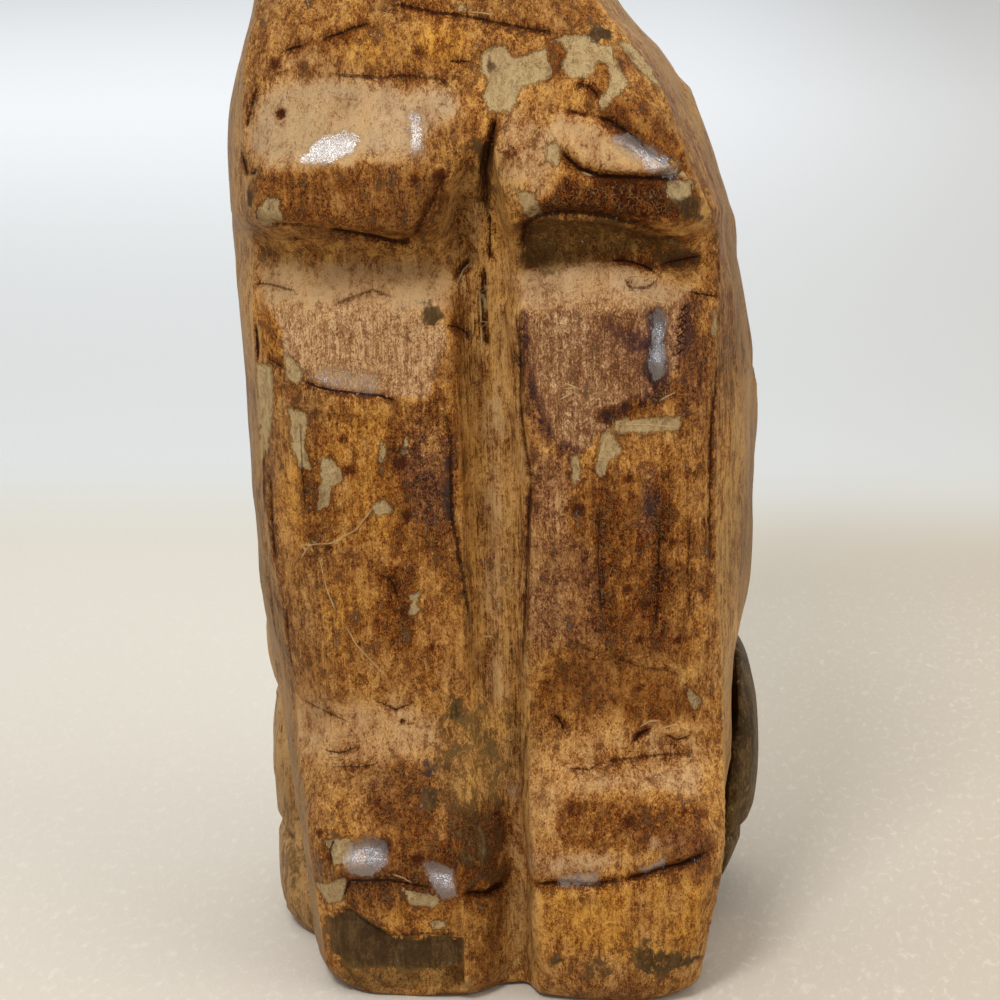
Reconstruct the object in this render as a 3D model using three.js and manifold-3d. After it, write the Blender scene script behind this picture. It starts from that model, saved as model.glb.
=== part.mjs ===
// A seated cat figurine carved in wood: two body staves glued on the centre line, a haunch glued to each
// flank, a head on a neck dowel with inlaid glass eyes, and a tail that curls round the back of the base.
// Millimetres, +Z up. The cat faces -Y, and the floor is Z = 0.
import * as THREE from "three";
import { mergeVertices } from "three/addons/utils/BufferGeometryUtils.js";
import Module from "manifold-3d";

const wasm = await Module();
wasm.setup();

// Heights above the floor
const neckHeight = 186; // joint between the body and the head
const chestHeight = 159; // facet edge across the chest
const shoulderHeight = 145; // the shoulders' furthest reach forward
const undercutHeight = 134; // lip under the shoulders
const kneeHeight = 56; // top of the ankle
const instepHeight = 36; // where a front paw starts to swell
const toeHeight = 22; // furthest reach of a front paw

// Widths, each measured sideways from the groove between the front legs
const soleHalfWidth = 32.5;
const ankleHalfWidth = 37;
const leftLegEdge = 41;
const rightLegEdge = 36.2;
const leftFlankReach = 48.4;
const rightFlankReach = 43.2;
const leftWaist = 44.8;
const rightWaist = 39.6;
const leftBase = 39;
const rightBase = 35;
const neckHalfWidth = 24.5;
const neckLean = 14.5; // from the groove to the middle of the neck, to the cat's right

// Depths, from the face of the front legs
const bodyDepth = 70;
const baseDepth = 62;
const neckFront = 9;
const neckBack = 52;
const widestDepth = 28;
const pawReach = 7.4;
const shoulderReach = 6.6;
const undercutDepth = 1.8;
const cornerRound = 4;
const soleRound = 2.2;

// The groove between the front legs
const grooveLeft = 7.4;
const grooveRight = 5;
const grooveDepth = 6;
const grooveTop = 152;
const ridgeRise = 1.4;
const legCrown = 1.1;

// Fits
const glueGap = 0.3;
const dowelGap = 0.3;
const seamX = -0.8; // the glue line between the two staves

// Dowels
const dowelRadius = 4;
const dowelLength = 34;
const lowerDowelHeight = 38;
const upperDowelHeight = 118;
const dowelDepth = 36;
const neckDowelRadius = 5;
const neckDowelLength = 34;

// Haunches
const haunchFront = 19;
const haunchBack = bodyDepth - 4;
const hindPawReach = 6; // how far a hind paw stands forward of its haunch
const leftHaunchStand = 3.6; // how far a haunch stands out from the waist
const rightHaunchStand = 3.4;
const leftHaunchReach = leftWaist + leftHaunchStand;
const rightHaunchReach = rightWaist + rightHaunchStand;
const leftHaunchHeight = 54;
const rightHaunchHeight = 56;

// Tail
const tailRootHeight = 31;
const tailRadius = 6.4;
const tailTipRadius = 3.8;
const tailPegRadius = 2.5;
const tailPegLength = 16;

// Head
const skullHalfWidth = 28.5;
const skullHalfDepth = 27;
const skullHalfHeight = 24.5;
const skullLift = 25.5; // centre of the skull above the neck joint
const headTurn = -10; // degrees, towards the cat's right
const muzzleReach = 9;
const earHeight = 19;
const earHalfWidth = 13;
const earSpread = 14.5;
const earLean = 12; // degrees
const earDepth = 8.5;
const earSink = 13;
const eyeRadius = 5.6;
const eyeSpread = 12.4;
const eyeRise = 3.4;

// Facet counts
const legColumns = 10;
const grooveColumns = 10;
const sideColumns = 4;
const backColumns = 18;
const bodyRows = 52;

// A smooth function of one variable through [position, value] pairs.
function through(pairs) {
  const sorted = [...pairs].sort((a, b) => a[0] - b[0]);
  const last = sorted.length - 1;
  const slope = sorted.map((_, i) => {
    const [a, b] = [sorted[Math.max(0, i - 1)], sorted[Math.min(last, i + 1)]];
    return (b[1] - a[1]) / (b[0] - a[0]);
  });
  return (at) => {
    if (at <= sorted[0][0]) return sorted[0][1];
    if (at >= sorted[last][0]) return sorted[last][1];
    const i = sorted.findIndex((p) => p[0] > at) - 1;
    const [[x0, y0], [x1, y1]] = [sorted[i], sorted[i + 1]];
    const [span, t] = [x1 - x0, (at - x0) / (x1 - x0)];
    const blend = t * t * (3 - 2 * t);
    const tangents = span * (slope[i] * t * (1 - t) ** 2 - slope[i + 1] * t * t * (1 - t));
    return y0 + (y1 - y0) * blend + tangents;
  };
}

const smooth = THREE.MathUtils.smoothstep;
const signedPower = (v, power) => Math.sign(v) * Math.abs(v) ** power;

// The body's outline at any height: its front face, that face's two corners, its flanks and its back.
const frontFace = through([
  [0, 1.8 - pawReach],
  [toeHeight - 14, 0.6 - pawReach],
  [toeHeight, -pawReach],
  [instepHeight - 5, 1.2 - pawReach],
  [instepHeight + 3, 4.6 - pawReach],
  [kneeHeight - 8, 0.4],
  [kneeHeight, 0.9],
  [kneeHeight + 8, 0],
  [undercutHeight - 13, 0],
  [undercutHeight - 7, undercutDepth],
  [undercutHeight - 1, undercutDepth - 0.4],
  [undercutHeight + 2.5, 1.6 - shoulderReach],
  [shoulderHeight, -shoulderReach],
  [shoulderHeight + 6, 1.6 - shoulderReach],
  [chestHeight, 4.4 - shoulderReach],
  [chestHeight + 10, neckFront - 8],
  [neckHeight, neckFront],
]);
const leftCorner = through([
  [0, -soleHalfWidth],
  [toeHeight + 4, 2 - ankleHalfWidth],
  [kneeHeight, -0.9 - ankleHalfWidth],
  [kneeHeight + 34, -leftLegEdge],
  [undercutHeight - 10, -0.2 - leftLegEdge],
  [shoulderHeight, 0.8 - leftLegEdge],
  [chestHeight, 0.4 - leftLegEdge],
  [chestHeight + 12, 2.6 - leftLegEdge],
  [neckHeight, 3 - neckLean - neckHalfWidth],
]);
const rightCorner = through([
  [0, soleHalfWidth],
  [toeHeight + 4, ankleHalfWidth + 0.3],
  [kneeHeight, ankleHalfWidth],
  [kneeHeight + 34, rightLegEdge - 0.5],
  [undercutHeight + 3, rightLegEdge],
  [shoulderHeight, rightLegEdge - 3.8],
  [chestHeight, rightLegEdge - 9],
  [chestHeight + 12, rightLegEdge - 18.5],
  [neckHeight, neckHalfWidth - neckLean - 3],
]);
const leftFlank = through([
  [0, -leftBase],
  [instepHeight - 6, 3.4 - leftWaist],
  [instepHeight + 10, -leftWaist],
  [kneeHeight + 8, 1.4 - leftFlankReach],
  [kneeHeight + 34, 0.9 - leftFlankReach],
  [undercutHeight - 4, -0.2 - leftFlankReach],
  [shoulderHeight + 3, -leftFlankReach],
  [chestHeight + 1, 2.8 - leftFlankReach],
  [chestHeight + 11, 6 - leftFlankReach],
  [neckHeight, -neckLean - neckHalfWidth],
]);
const rightFlank = through([
  [0, rightBase],
  [instepHeight - 6, rightWaist - 1.4],
  [kneeHeight - 3, rightWaist],
  [kneeHeight + 8, rightFlankReach - 1.4],
  [kneeHeight + 24, rightFlankReach - 0.3],
  [undercutHeight - 35, rightFlankReach],
  [undercutHeight - 22, rightFlankReach - 0.8],
  [undercutHeight - 4, rightFlankReach - 3.8],
  [shoulderHeight - 3, rightFlankReach - 7.2],
  [chestHeight - 7, rightFlankReach - 10.8],
  [chestHeight + 2, rightFlankReach - 16],
  [chestHeight + 10, rightFlankReach - 23],
  [neckHeight, neckHalfWidth - neckLean],
]);
const backFace = through([
  [0, baseDepth],
  [toeHeight + 2, bodyDepth - 2.5],
  [kneeHeight + 4, bodyDepth],
  [undercutHeight - 34, bodyDepth - 3.5],
  [shoulderHeight, bodyDepth - 10],
  [chestHeight + 12, bodyDepth - 15],
  [neckHeight, neckBack],
]);

// The groove's two edges and its floor at any height. Above its top the groove is closed.
const grooveLeftEdge = through([
  [0, seamX + 0.6 - grooveLeft],
  [kneeHeight, seamX + 1.4 - grooveLeft],
  [kneeHeight + 30, seamX + 0.8 - grooveLeft],
  [undercutHeight - 8, seamX - 0.4 - grooveLeft],
  [undercutHeight + 4, seamX - 2.6 - grooveLeft],
  [grooveTop - 5, seamX + 3.4 - grooveLeft],
  [grooveTop, seamX + 5.4 - grooveLeft],
]);
const grooveRightEdge = through([
  [0, seamX + grooveRight + 1],
  [kneeHeight, seamX + grooveRight - 0.6],
  [kneeHeight + 30, seamX + grooveRight + 0.7],
  [undercutHeight - 8, seamX + grooveRight - 0.6],
  [undercutHeight + 4, seamX + grooveRight - 1],
  [grooveTop - 5, seamX + grooveRight - 3],
  [grooveTop, seamX + grooveRight - 3.6],
]);
const grooveFloor = through([
  [0, grooveDepth - 4],
  [toeHeight, grooveDepth - 3.4],
  [kneeHeight, grooveDepth - 0.4],
  [kneeHeight + 20, grooveDepth],
  [undercutHeight - 8, grooveDepth],
  [undercutHeight + 4, grooveDepth - 2.4],
  [grooveTop - 6, grooveDepth - 7],
  [grooveTop, 3 - shoulderReach],
  [grooveTop + 5, 3.2 - shoulderReach],
]);

// One closed outline of the body at height z, from the left front corner, counter-clockwise seen from above.
// Growing it by a gap gives the body that a neighbour is cut by.
function bodyOutline(z, grow = 0) {
  const inset = soleRound * (1 - Math.min(1, z / 4.5)) ** 2 - grow;
  const [left, right] = [leftCorner(z) + inset, rightCorner(z) - inset];
  const [wideLeft, wideRight] = [leftFlank(z) + inset, rightFlank(z) - inset];
  const [front, back] = [frontFace(z) + inset, backFace(z) - inset];
  const [innerLeft, innerRight] = [grooveLeftEdge(z) + inset / 2, grooveRightEdge(z) - inset / 2];
  const open = 1 - smooth(z, grooveTop - 3, grooveTop + 2);
  const floor = grooveFloor(z) - grow;
  const sink = (floor - front) * open;
  const outline = [];
  const add = (x, y) => outline.push(new THREE.Vector3(x, y, z));
  const leg = (from, to) => {
    for (let i = 0; i <= legColumns; i++) {
      const t = i / legColumns;
      const x = from + (to - from) * t;
      const edge = Math.min(x - left, right - x);
      const corner = cornerRound * (1 - Math.min(1, edge / (2 * cornerRound))) ** 2;
      const crown = legCrown * (2 * t - 1) ** 2 * open;
      add(x, front + corner + crown);
    }
  };
  leg(left, innerLeft);
  for (let i = 1; i < grooveColumns; i++) {
    const t = i / grooveColumns;
    const wall = smooth(t, 0, 0.38) * (1 - smooth(t, 0.8, 1));
    const ridge = ridgeRise * open * Math.max(0, 1 - ((t - 0.55) / 0.2) ** 2);
    const y = front + legCrown * open + (sink - legCrown * open) * wall - ridge;
    add(innerLeft + (innerRight - innerLeft) * t, y);
  }
  leg(innerRight, right);
  const flank = (fromX, toX, reverse) => {
    const start = new THREE.Vector2(fromX, front + cornerRound + legCrown * open);
    const end = new THREE.Vector2(toX, widestDepth);
    const pull = new THREE.Vector2(fromX + (toX - fromX) * 0.75, start.y + 8);
    const curve = new THREE.QuadraticBezierCurve(start, pull, end);
    for (let i = 1; i <= sideColumns; i++) {
      const p = curve.getPoint(reverse ? 1 - (i - 1) / sideColumns : i / sideColumns);
      add(p.x, p.y);
    }
  };
  flank(right, wideRight, false);
  const middle = (wideLeft + wideRight) / 2;
  const reach = (wideRight - wideLeft) / 2;
  for (let i = 1; i < backColumns; i++) {
    const angle = (Math.PI * i) / backColumns;
    const depth = (back - widestDepth) * Math.sin(angle) ** 0.84;
    add(middle + reach * signedPower(Math.cos(angle), 0.8), widestDepth + depth);
  }
  flank(left, wideLeft, true);
  return outline;
}

// A closed shell through a stack of outlines with as many points each, with a fan of faces on each end.
function loft(outlines) {
  const count = outlines[0].length;
  const points = outlines.flat();
  const index = [];
  for (let r = 0; r + 1 < outlines.length; r++)
    for (let c = 0; c < count; c++) {
      const [a, b] = [r * count + c, r * count + ((c + 1) % count)];
      index.push(a, b, b + count, a, b + count, a + count);
    }
  for (const [row, flip] of [[0, true], [outlines.length - 1, false]]) {
    const centre = outlines[row].reduce((sum, p) => sum.add(p), new THREE.Vector3()).divideScalar(count);
    points.push(centre);
    for (let c = 0; c < count; c++) {
      const [a, b] = [row * count + c, row * count + ((c + 1) % count)];
      index.push(...(flip ? [b, a, points.length - 1] : [a, b, points.length - 1]));
    }
  }
  const geometry = new THREE.BufferGeometry().setFromPoints(points);
  geometry.setIndex(index);
  return geometry;
}

// Geometry to solid and back
function solid(geometry, matrix = new THREE.Matrix4()) {
  const bare = geometry.clone().applyMatrix4(matrix);
  bare.deleteAttribute("normal");
  bare.deleteAttribute("uv");
  const merged = mergeVertices(bare, 1e-4);
  return new wasm.Manifold(
    new wasm.Mesh({
      numProp: 3,
      vertProperties: merged.attributes.position.array,
      triVerts: new Uint32Array(merged.index.array),
    }),
  );
}

function node(name, shape, material) {
  const mesh = shape.getMesh();
  const geometry = new THREE.BufferGeometry();
  geometry.setAttribute("position", new THREE.BufferAttribute(mesh.vertProperties, 3));
  geometry.setIndex(new THREE.BufferAttribute(mesh.triVerts, 1));
  geometry.computeVertexNormals();
  const made = new THREE.Mesh(geometry, material);
  made.name = name;
  return made;
}

// A cut can leave crumbs, so only the largest body is kept.
const largest = (shape) => shape.decompose().sort((a, b) => b.volume() - a.volume())[0];

const X = new THREE.Vector3(1, 0, 0);
const Y = new THREE.Vector3(0, 1, 0);
const Z = new THREE.Vector3(0, 0, 1);
const shift = (x, y, z) => new THREE.Matrix4().makeTranslation(x, y, z);
const spin = (axis, degrees) => new THREE.Matrix4().makeRotationAxis(axis, THREE.MathUtils.degToRad(degrees));

// A block from one corner to the opposite one
function block(low, high) {
  const size = high.clone().sub(low);
  const centre = high.clone().add(low).divideScalar(2);
  return solid(new THREE.BoxGeometry(size.x, size.y, size.z), shift(...centre.toArray()));
}

// A cylinder centred on a point, along an axis
function rod(radius, length, place, axis) {
  const upright = new THREE.CylinderGeometry(radius, radius, length, 24);
  const toAxis = new THREE.Quaternion().setFromUnitVectors(Y, axis);
  const turn = new THREE.Matrix4().makeRotationFromQuaternion(toAxis);
  return solid(upright, shift(...place.toArray()).multiply(turn));
}

const far = 400;
const farCorner = new THREE.Vector3(far, far, far);
const leftOf = (x) => block(farCorner.clone().negate(), new THREE.Vector3(x, far, far));
const rightOf = (x) => block(new THREE.Vector3(x, -far, -far), farCorner);
const above = (z) => block(new THREE.Vector3(-far, -far, z), farCorner);

// Finishes
const finish = (color, roughness) => new THREE.MeshStandardMaterial({ color, roughness, metalness: 0 });
const stainedWood = finish(0x96592a, 0.32);
const oliveWood = finish(0x6d5230, 0.42);
const bareWood = finish(0xc9a877, 0.7);
const amberGlass = finish(0xb07a1c, 0.05);

// Body blank, and the same grown by the glue gap
const rows = [0, 0.8, 2.2];
for (let i = 0; i <= bodyRows; i++) rows.push(4.5 + ((neckHeight - 4.5) * i) / bodyRows);
const body = solid(loft(rows.map((z) => bodyOutline(z))));
const grownRows = [-glueGap, ...rows, neckHeight + glueGap].map((z) => {
  const outline = bodyOutline(THREE.MathUtils.clamp(z, 0, neckHeight), glueGap);
  return outline.map((p) => p.setZ(z));
});
const grownBody = solid(loft(grownRows));

// Haunches: each is a lobe with a hind paw at its foot, hollowed to the flank that it is glued to.
function haunchOutline(side, reach, height, z, grow = 0) {
  const t = z / height;
  const dome = Math.sqrt(Math.max(0.0004, 1 - Math.max(0, (t - 0.5) / 0.5) ** 2.6));
  const foot = soleRound * (1 - Math.min(1, z / 4.5)) ** 2;
  const tuck = side < 0 ? 0.7 * (1 - t) ** 4 : 8.5 * (1 - smooth(z, 0, 0.52 * height)) ** 1.3;
  const outer = reach - tuck - foot + grow - 12 * (1 - dome);
  const paw = hindPawReach * (1 - smooth(z, 9, 20)) - 0.5 * foot;
  const [front, back] = [haunchFront - paw - grow, haunchBack - foot + grow];
  const [middle, half] = [(front + back) / 2, ((back - front) / 2) * (0.35 + 0.65 * dome)];
  const inner = reach / 3;
  const outline = [];
  for (let i = 0; i < 28; i++) {
    const angle = (2 * Math.PI * i) / 28;
    const across = Math.cos(angle);
    const x = inner + (outer - inner) * Math.max(0, across) ** 0.7 - inner * Math.max(0, -across);
    outline.push(new THREE.Vector3(side * x, middle + side * half * signedPower(Math.sin(angle), 0.8), z));
  }
  return outline;
}

function haunch(side, reach, height, grow = 0) {
  const steps = Array.from({ length: 21 }, (_, i) => Math.sin((Math.PI / 2) * (i / 20)) * height * 0.998);
  return solid(loft(steps.map((z) => haunchOutline(side, reach, height, z, grow))));
}

const leftHaunch = largest(haunch(-1, leftHaunchReach, leftHaunchHeight).subtract(grownBody));
const rightHaunch = largest(haunch(1, rightHaunchReach, rightHaunchHeight).subtract(grownBody));

// Depth of the body's back at a point across it
function backAt(x, z) {
  const [left, right] = [leftFlank(z), rightFlank(z)];
  const across = Math.min(1, Math.abs((2 * x - left - right) / (right - left))) ** 1.25;
  return widestDepth + (backFace(z) - widestDepth) * (1 - across * across) ** 0.42;
}

// Tail: a tapered roll from its root on the back, down to the floor and round to the left haunch
const tailRootX = 6;
const tailHug = 0.55; // how far its middle stands off the body, as a share of its radius
const tailRoute = new THREE.CatmullRomCurve3(
  [
    [tailRootX + 1, tailRootHeight + 14, -1.3],
    [tailRootX, tailRootHeight, tailHug - 0.3],
    [tailRootX - 2, tailRootHeight * 0.6, tailHug],
    [tailRootX - 10, tailRadius + 3, tailHug + 0.2],
    [tailRootX - 23, tailRadius, tailHug + 0.5],
    [tailRootX - 36, tailRadius - 1.4, tailHug + 1.1],
  ]
    .map(([x, z, off]) => new THREE.Vector3(x, backAt(x, z) + off * tailRadius, z))
    .concat(new THREE.Vector3(8.5 - leftHaunchReach, haunchBack - 2.5, tailTipRadius + 0.3)),
);
const tailSteps = 30;
const tailSides = 14;

function tailOutline(step) {
  const t = step / tailSteps;
  const [centre, along] = [tailRoute.getPoint(t), tailRoute.getTangent(t)];
  const across = new THREE.Vector3().crossVectors(Y, along).normalize();
  const over = new THREE.Vector3().crossVectors(along, across);
  const tip = Math.sqrt(Math.max(0.01, 1 - (Math.max(0, t - 0.9) / 0.1) ** 2));
  const radius = (tailRadius + (tailTipRadius - tailRadius) * t) * tip;
  return Array.from({ length: tailSides }, (_, i) => {
    const angle = (2 * Math.PI * i) / tailSides;
    const p = centre.clone().addScaledVector(across, radius * Math.cos(angle));
    return p.addScaledVector(over, radius * Math.sin(angle));
  });
}

const tailPegHeight = tailRootHeight - 7;
const tailPegPlace = new THREE.Vector3(tailRootX, backAt(tailRootX, tailPegHeight) - 3.5, tailPegHeight);
const tailPegHole = rod(tailPegRadius + dowelGap, tailPegLength + 2 * dowelGap, tailPegPlace, Y);
const tailRoll = solid(loft(Array.from({ length: tailSteps + 1 }, (_, i) => tailOutline(i))));
const tail = tailRoll
  .subtract(grownBody)
  .subtract(haunch(-1, leftHaunchReach, leftHaunchHeight, glueGap))
  .subtract(haunch(1, rightHaunchReach, rightHaunchHeight, glueGap))
  .intersect(above(0))
  .subtract(tailPegHole);

// Head, in its own frame on the neck joint, then turned and set on the neck. Each feature is a direction from
// the middle of the skull, a height above the skull and a width in degrees.
const features = [
  { towards: [0, -1, -0.32], lift: muzzleReach, width: 24 },
  { towards: [0, -1, -0.12], lift: 2.2, width: 9 },
  { towards: [0, -0.8, -0.74], lift: 3, width: 16 },
];
for (const side of [-1, 1])
  features.push(
    { towards: [side * 0.2, -1, -0.4], lift: 1.8, width: 11 },
    { towards: [side * 0.86, -0.55, -0.36], lift: 4.2, width: 26 },
    { towards: [side * 0.42, -0.88, 0.42], lift: 2.4, width: 15 },
    { towards: [side * 0.45, -0.9, 0.12], lift: -1.6, width: 15 },
  );
for (const feature of features) feature.axis = new THREE.Vector3(...feature.towards).normalize();

function skullGeometry() {
  const skull = new THREE.SphereGeometry(1, 44, 26);
  const points = skull.getAttribute("position");
  const v = new THREE.Vector3();
  for (let i = 0; i < points.count; i++) {
    v.fromBufferAttribute(points, i);
    const reach = 1 / (Math.abs(v.x) ** 2.5 + Math.abs(v.y) ** 2.5 + Math.abs(v.z) ** 2.5) ** 0.4;
    let lift = 0;
    for (const feature of features) {
      const angle = THREE.MathUtils.radToDeg(v.angleTo(feature.axis)) / feature.width;
      lift += feature.lift * Math.exp(-angle * angle * 1.6);
    }
    points.setXYZ(
      i,
      v.x * (skullHalfWidth * reach + lift),
      v.y * (skullHalfDepth * reach + lift),
      v.z * (skullHalfHeight * reach + lift),
    );
  }
  return skull;
}

function neckCollar() {
  const half = (neckBack - neckFront) / 2;
  const rings = [0, 5, 11, 18, 25].map((z) =>
    Array.from({ length: 28 }, (_, i) => {
      const angle = (2 * Math.PI * i) / 28;
      const swell = 1 - 0.04 * Math.sin((Math.PI * z) / 25);
      const [x, y] = [signedPower(Math.cos(angle), 0.8), signedPower(Math.sin(angle), 0.8)];
      return new THREE.Vector3(neckHalfWidth * swell * x, half * swell * y, z);
    }),
  );
  return solid(loft(rings));
}

// An ear is a leaning, flattened cone with its front scooped out. Its root is sunk in the skull.
function earCone(width, depth, height) {
  const steps = [0, 0.16, 0.32, 0.5, 0.66, 0.8, 0.92, 0.985];
  const ring = (t) =>
    Array.from({ length: 20 }, (_, i) => {
      const angle = (2 * Math.PI * i) / 20;
      const taper = (1 - t ** 1.6) * (0.7 + 0.3 * smooth(t, 0, 0.4));
      return new THREE.Vector3(width * taper * Math.cos(angle), depth * taper * Math.sin(angle), height * t);
    });
  return loft(steps.map(ring));
}

function ear(side) {
  const place = shift(side * earSpread, 2, skullLift + skullHalfHeight - earSink)
    .multiply(spin(Y, side * earLean))
    .multiply(spin(Z, side * 18));
  const scoop = place.clone().multiply(shift(0, -earDepth * 0.62, earSink - 3));
  return solid(earCone(earHalfWidth, earDepth, earHeight + earSink), place).subtract(
    solid(earCone(earHalfWidth * 0.8, earDepth * 0.72, earHeight - 1), scoop),
  );
}

const eyePlaces = [-1, 1].map(
  (side) => new THREE.Vector3(side * eyeSpread, 4.6 - skullHalfDepth, skullLift + eyeRise),
);
const ball = (radius, place) => solid(new THREE.SphereGeometry(radius, 18, 12), shift(...place.toArray()));

let head = solid(skullGeometry(), shift(0, 0, skullLift)).add(neckCollar()).add(ear(-1)).add(ear(1));
head = head.intersect(above(0));
for (const place of eyePlaces) head = head.subtract(ball(eyeRadius + glueGap, place));

const neckPlace = new THREE.Vector3(-neckLean, (neckFront + neckBack) / 2, neckHeight);
const headPlace = shift(neckPlace.x, neckPlace.y, neckHeight + glueGap).multiply(spin(Z, headTurn));
const neckDowel = rod(neckDowelRadius, neckDowelLength, neckPlace, Z);
const neckDowelHole = rod(neckDowelRadius + dowelGap, neckDowelLength + 2 * dowelGap, neckPlace, Z);

// Staves
const staveDowels = [
  ["lower_body_dowel", lowerDowelHeight],
  ["upper_body_dowel", upperDowelHeight],
].map(([name, z]) => [name, new THREE.Vector3(seamX, dowelDepth, z)]);
let blank = body.subtract(neckDowelHole).subtract(tailPegHole);
for (const [, place] of staveDowels)
  blank = blank.subtract(rod(dowelRadius + dowelGap, dowelLength + 2 * dowelGap, place, X));

const cat = new THREE.Group();
cat.add(node("left_body_stave", largest(blank.intersect(leftOf(seamX - glueGap / 2))), stainedWood));
cat.add(node("right_body_stave", largest(blank.intersect(rightOf(seamX + glueGap / 2))), stainedWood));
for (const [name, place] of staveDowels) {
  cat.add(node(name, rod(dowelRadius, dowelLength, place, X), bareWood));
}
cat.add(node("left_haunch", leftHaunch, oliveWood));
cat.add(node("right_haunch", rightHaunch, oliveWood));
cat.add(node("tail", largest(tail), stainedWood));
cat.add(node("tail_peg", rod(tailPegRadius, tailPegLength, tailPegPlace, Y), bareWood));
cat.add(node("head", largest(head.transform(headPlace.elements).subtract(neckDowelHole)), stainedWood));
cat.add(node("neck_dowel", neckDowel, bareWood));
for (const [name, place] of [["left_eye", eyePlaces[0]], ["right_eye", eyePlaces[1]]])
  cat.add(node(name, ball(eyeRadius, place).transform(headPlace.elements), amberGlass));

// The origin is on the floor under the middle of the figurine's box.
const bounds = new THREE.Box3().setFromObject(cat, true);
const middle = bounds.getCenter(new THREE.Vector3());
cat.position.set(-middle.x, -middle.y, -bounds.min.z);

export default cat;
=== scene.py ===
"""Carve, stain and lacquer the wooden cat figurine, set its glass eyes, and light it on a pale floor."""

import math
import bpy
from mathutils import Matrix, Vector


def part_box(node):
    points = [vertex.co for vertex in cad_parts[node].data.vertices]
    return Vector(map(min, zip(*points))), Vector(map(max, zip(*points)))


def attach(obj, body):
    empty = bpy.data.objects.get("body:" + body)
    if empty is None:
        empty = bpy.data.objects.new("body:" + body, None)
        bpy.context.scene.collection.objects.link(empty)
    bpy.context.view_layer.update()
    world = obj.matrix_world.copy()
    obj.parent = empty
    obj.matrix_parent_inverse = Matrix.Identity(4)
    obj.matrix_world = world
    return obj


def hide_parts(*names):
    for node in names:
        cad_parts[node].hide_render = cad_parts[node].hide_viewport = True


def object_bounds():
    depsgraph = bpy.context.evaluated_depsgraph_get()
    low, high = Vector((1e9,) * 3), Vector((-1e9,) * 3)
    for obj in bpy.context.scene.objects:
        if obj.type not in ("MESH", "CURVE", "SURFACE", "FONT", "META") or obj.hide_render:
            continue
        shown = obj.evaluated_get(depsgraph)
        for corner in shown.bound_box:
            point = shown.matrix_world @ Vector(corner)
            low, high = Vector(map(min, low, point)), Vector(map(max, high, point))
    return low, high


bl_info = {
    "name": "Carved Cat Figurine",
    "version": (1, 0, 0),
    "blender": (4, 5, 0),
    "location": "View3D > Sidebar > Figurine",
    "description": "Sculpts and stains the pieces of a seated wooden cat and sets its stage",
    "category": "Add Mesh",
}

import bmesh
import bpy
import numpy as np
from bpy.props import FloatProperty, FloatVectorProperty, PointerProperty
from mathutils import Matrix, Vector
from mathutils.bvhtree import BVHTree

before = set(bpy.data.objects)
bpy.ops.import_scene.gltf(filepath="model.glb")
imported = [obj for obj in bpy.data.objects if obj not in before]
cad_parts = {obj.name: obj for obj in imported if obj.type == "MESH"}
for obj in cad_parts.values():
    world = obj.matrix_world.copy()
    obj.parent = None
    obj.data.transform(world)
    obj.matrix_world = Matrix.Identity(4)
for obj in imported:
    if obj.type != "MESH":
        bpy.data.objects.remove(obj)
CAD_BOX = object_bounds()
MM = 0.001

# The carver's frame is in millimetres: X = 0 in the groove between the front legs, Y = 0 on the face of the
# legs and Z = 0 on the floor. The lower dowel's middle places it in the frame of the part.
SEAM_X = -0.8
DOWEL_MIDDLE = np.array([SEAM_X, 36.0, 38.0])
DOWEL_LOW, DOWEL_HIGH = (np.array(corner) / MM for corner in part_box("lower_body_dowel"))
ORIGIN = DOWEL_MIDDLE - (DOWEL_LOW + DOWEL_HIGH) / 2

# Where the camera and the window are, for the glossy spots that catch the light.
EYE = np.array([42.0, -395.0, 205.0])
WINDOW = np.array([-150.0, -440.0, 700.0])

# The camera looks down, from one side and a little tilted, at a spot on the chest.
CAMERA_ANGLES = (16.0, 6.0, 1.5)
CAMERA_TARGET = np.array([0.0, 0.0, 90.0])

SKY_COLOUR = (0.97, 0.985, 1.0, 1)
SKY_STRENGTH = 0.68

# Each lamp's name, its place, its aim and its width in metres, its power in watts, and its colour.
LAMPS = [
    ("window", (WINDOW - ORIGIN) * MM, (0.0, 0.0, 0.09), 0.17, 3.6, (0.93, 0.97, 1.0)),
    ("top_lamp", (-0.05, -0.05, 1.3), (0.0, 0.0, 0.09), 0.9, 5.0, (0.98, 0.99, 1.0)),
    ("fill", (0.95, -0.45, 0.55), (0.0, 0.0, 0.09), 0.8, 3.7, (1.0, 0.98, 0.95)),
    ("back_lamp", (-0.5, 1.3, 0.9), (-0.5, 1.3, 0.0), 1.2, 2.6, (1.0, 1.0, 1.0)),
]

# The floor in metres: half its width, how far it is moved back, and its thickness.
FLOOR_HALF = 3.0
FLOOR_SHIFT = 1.0
FLOOR_THICKNESS = 0.01


def srgb(red, green, blue):
    """Scene-linear colour of an sRGB one given from 0 to 255."""
    line = [v / 255 for v in (red, green, blue)]
    return tuple(v / 12.92 if v <= 0.04045 else ((v + 0.055) / 1.055) ** 2.4 for v in line)


def ease(low, high, value):
    """0 below low, 1 above high, smooth between them."""
    t = np.clip((value - low) / (high - low), 0, 1)
    return t * t * (3 - 2 * t)


# Sculpting tools on arrays of points, in the carver's millimetres


def lattice(cell, seed):
    """A repeatable number from 0 to 1 for each whole-numbered cell."""
    mixed = cell[:, 0] * 73856093 ^ cell[:, 1] * 19349663 ^ cell[:, 2] * 83492791 ^ (seed * 2654435 + 97)
    mixed = (mixed ^ (mixed >> 13)) * 1274126177
    return ((mixed ^ (mixed >> 16)) & 0xFFFF) / 65535.0


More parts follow.
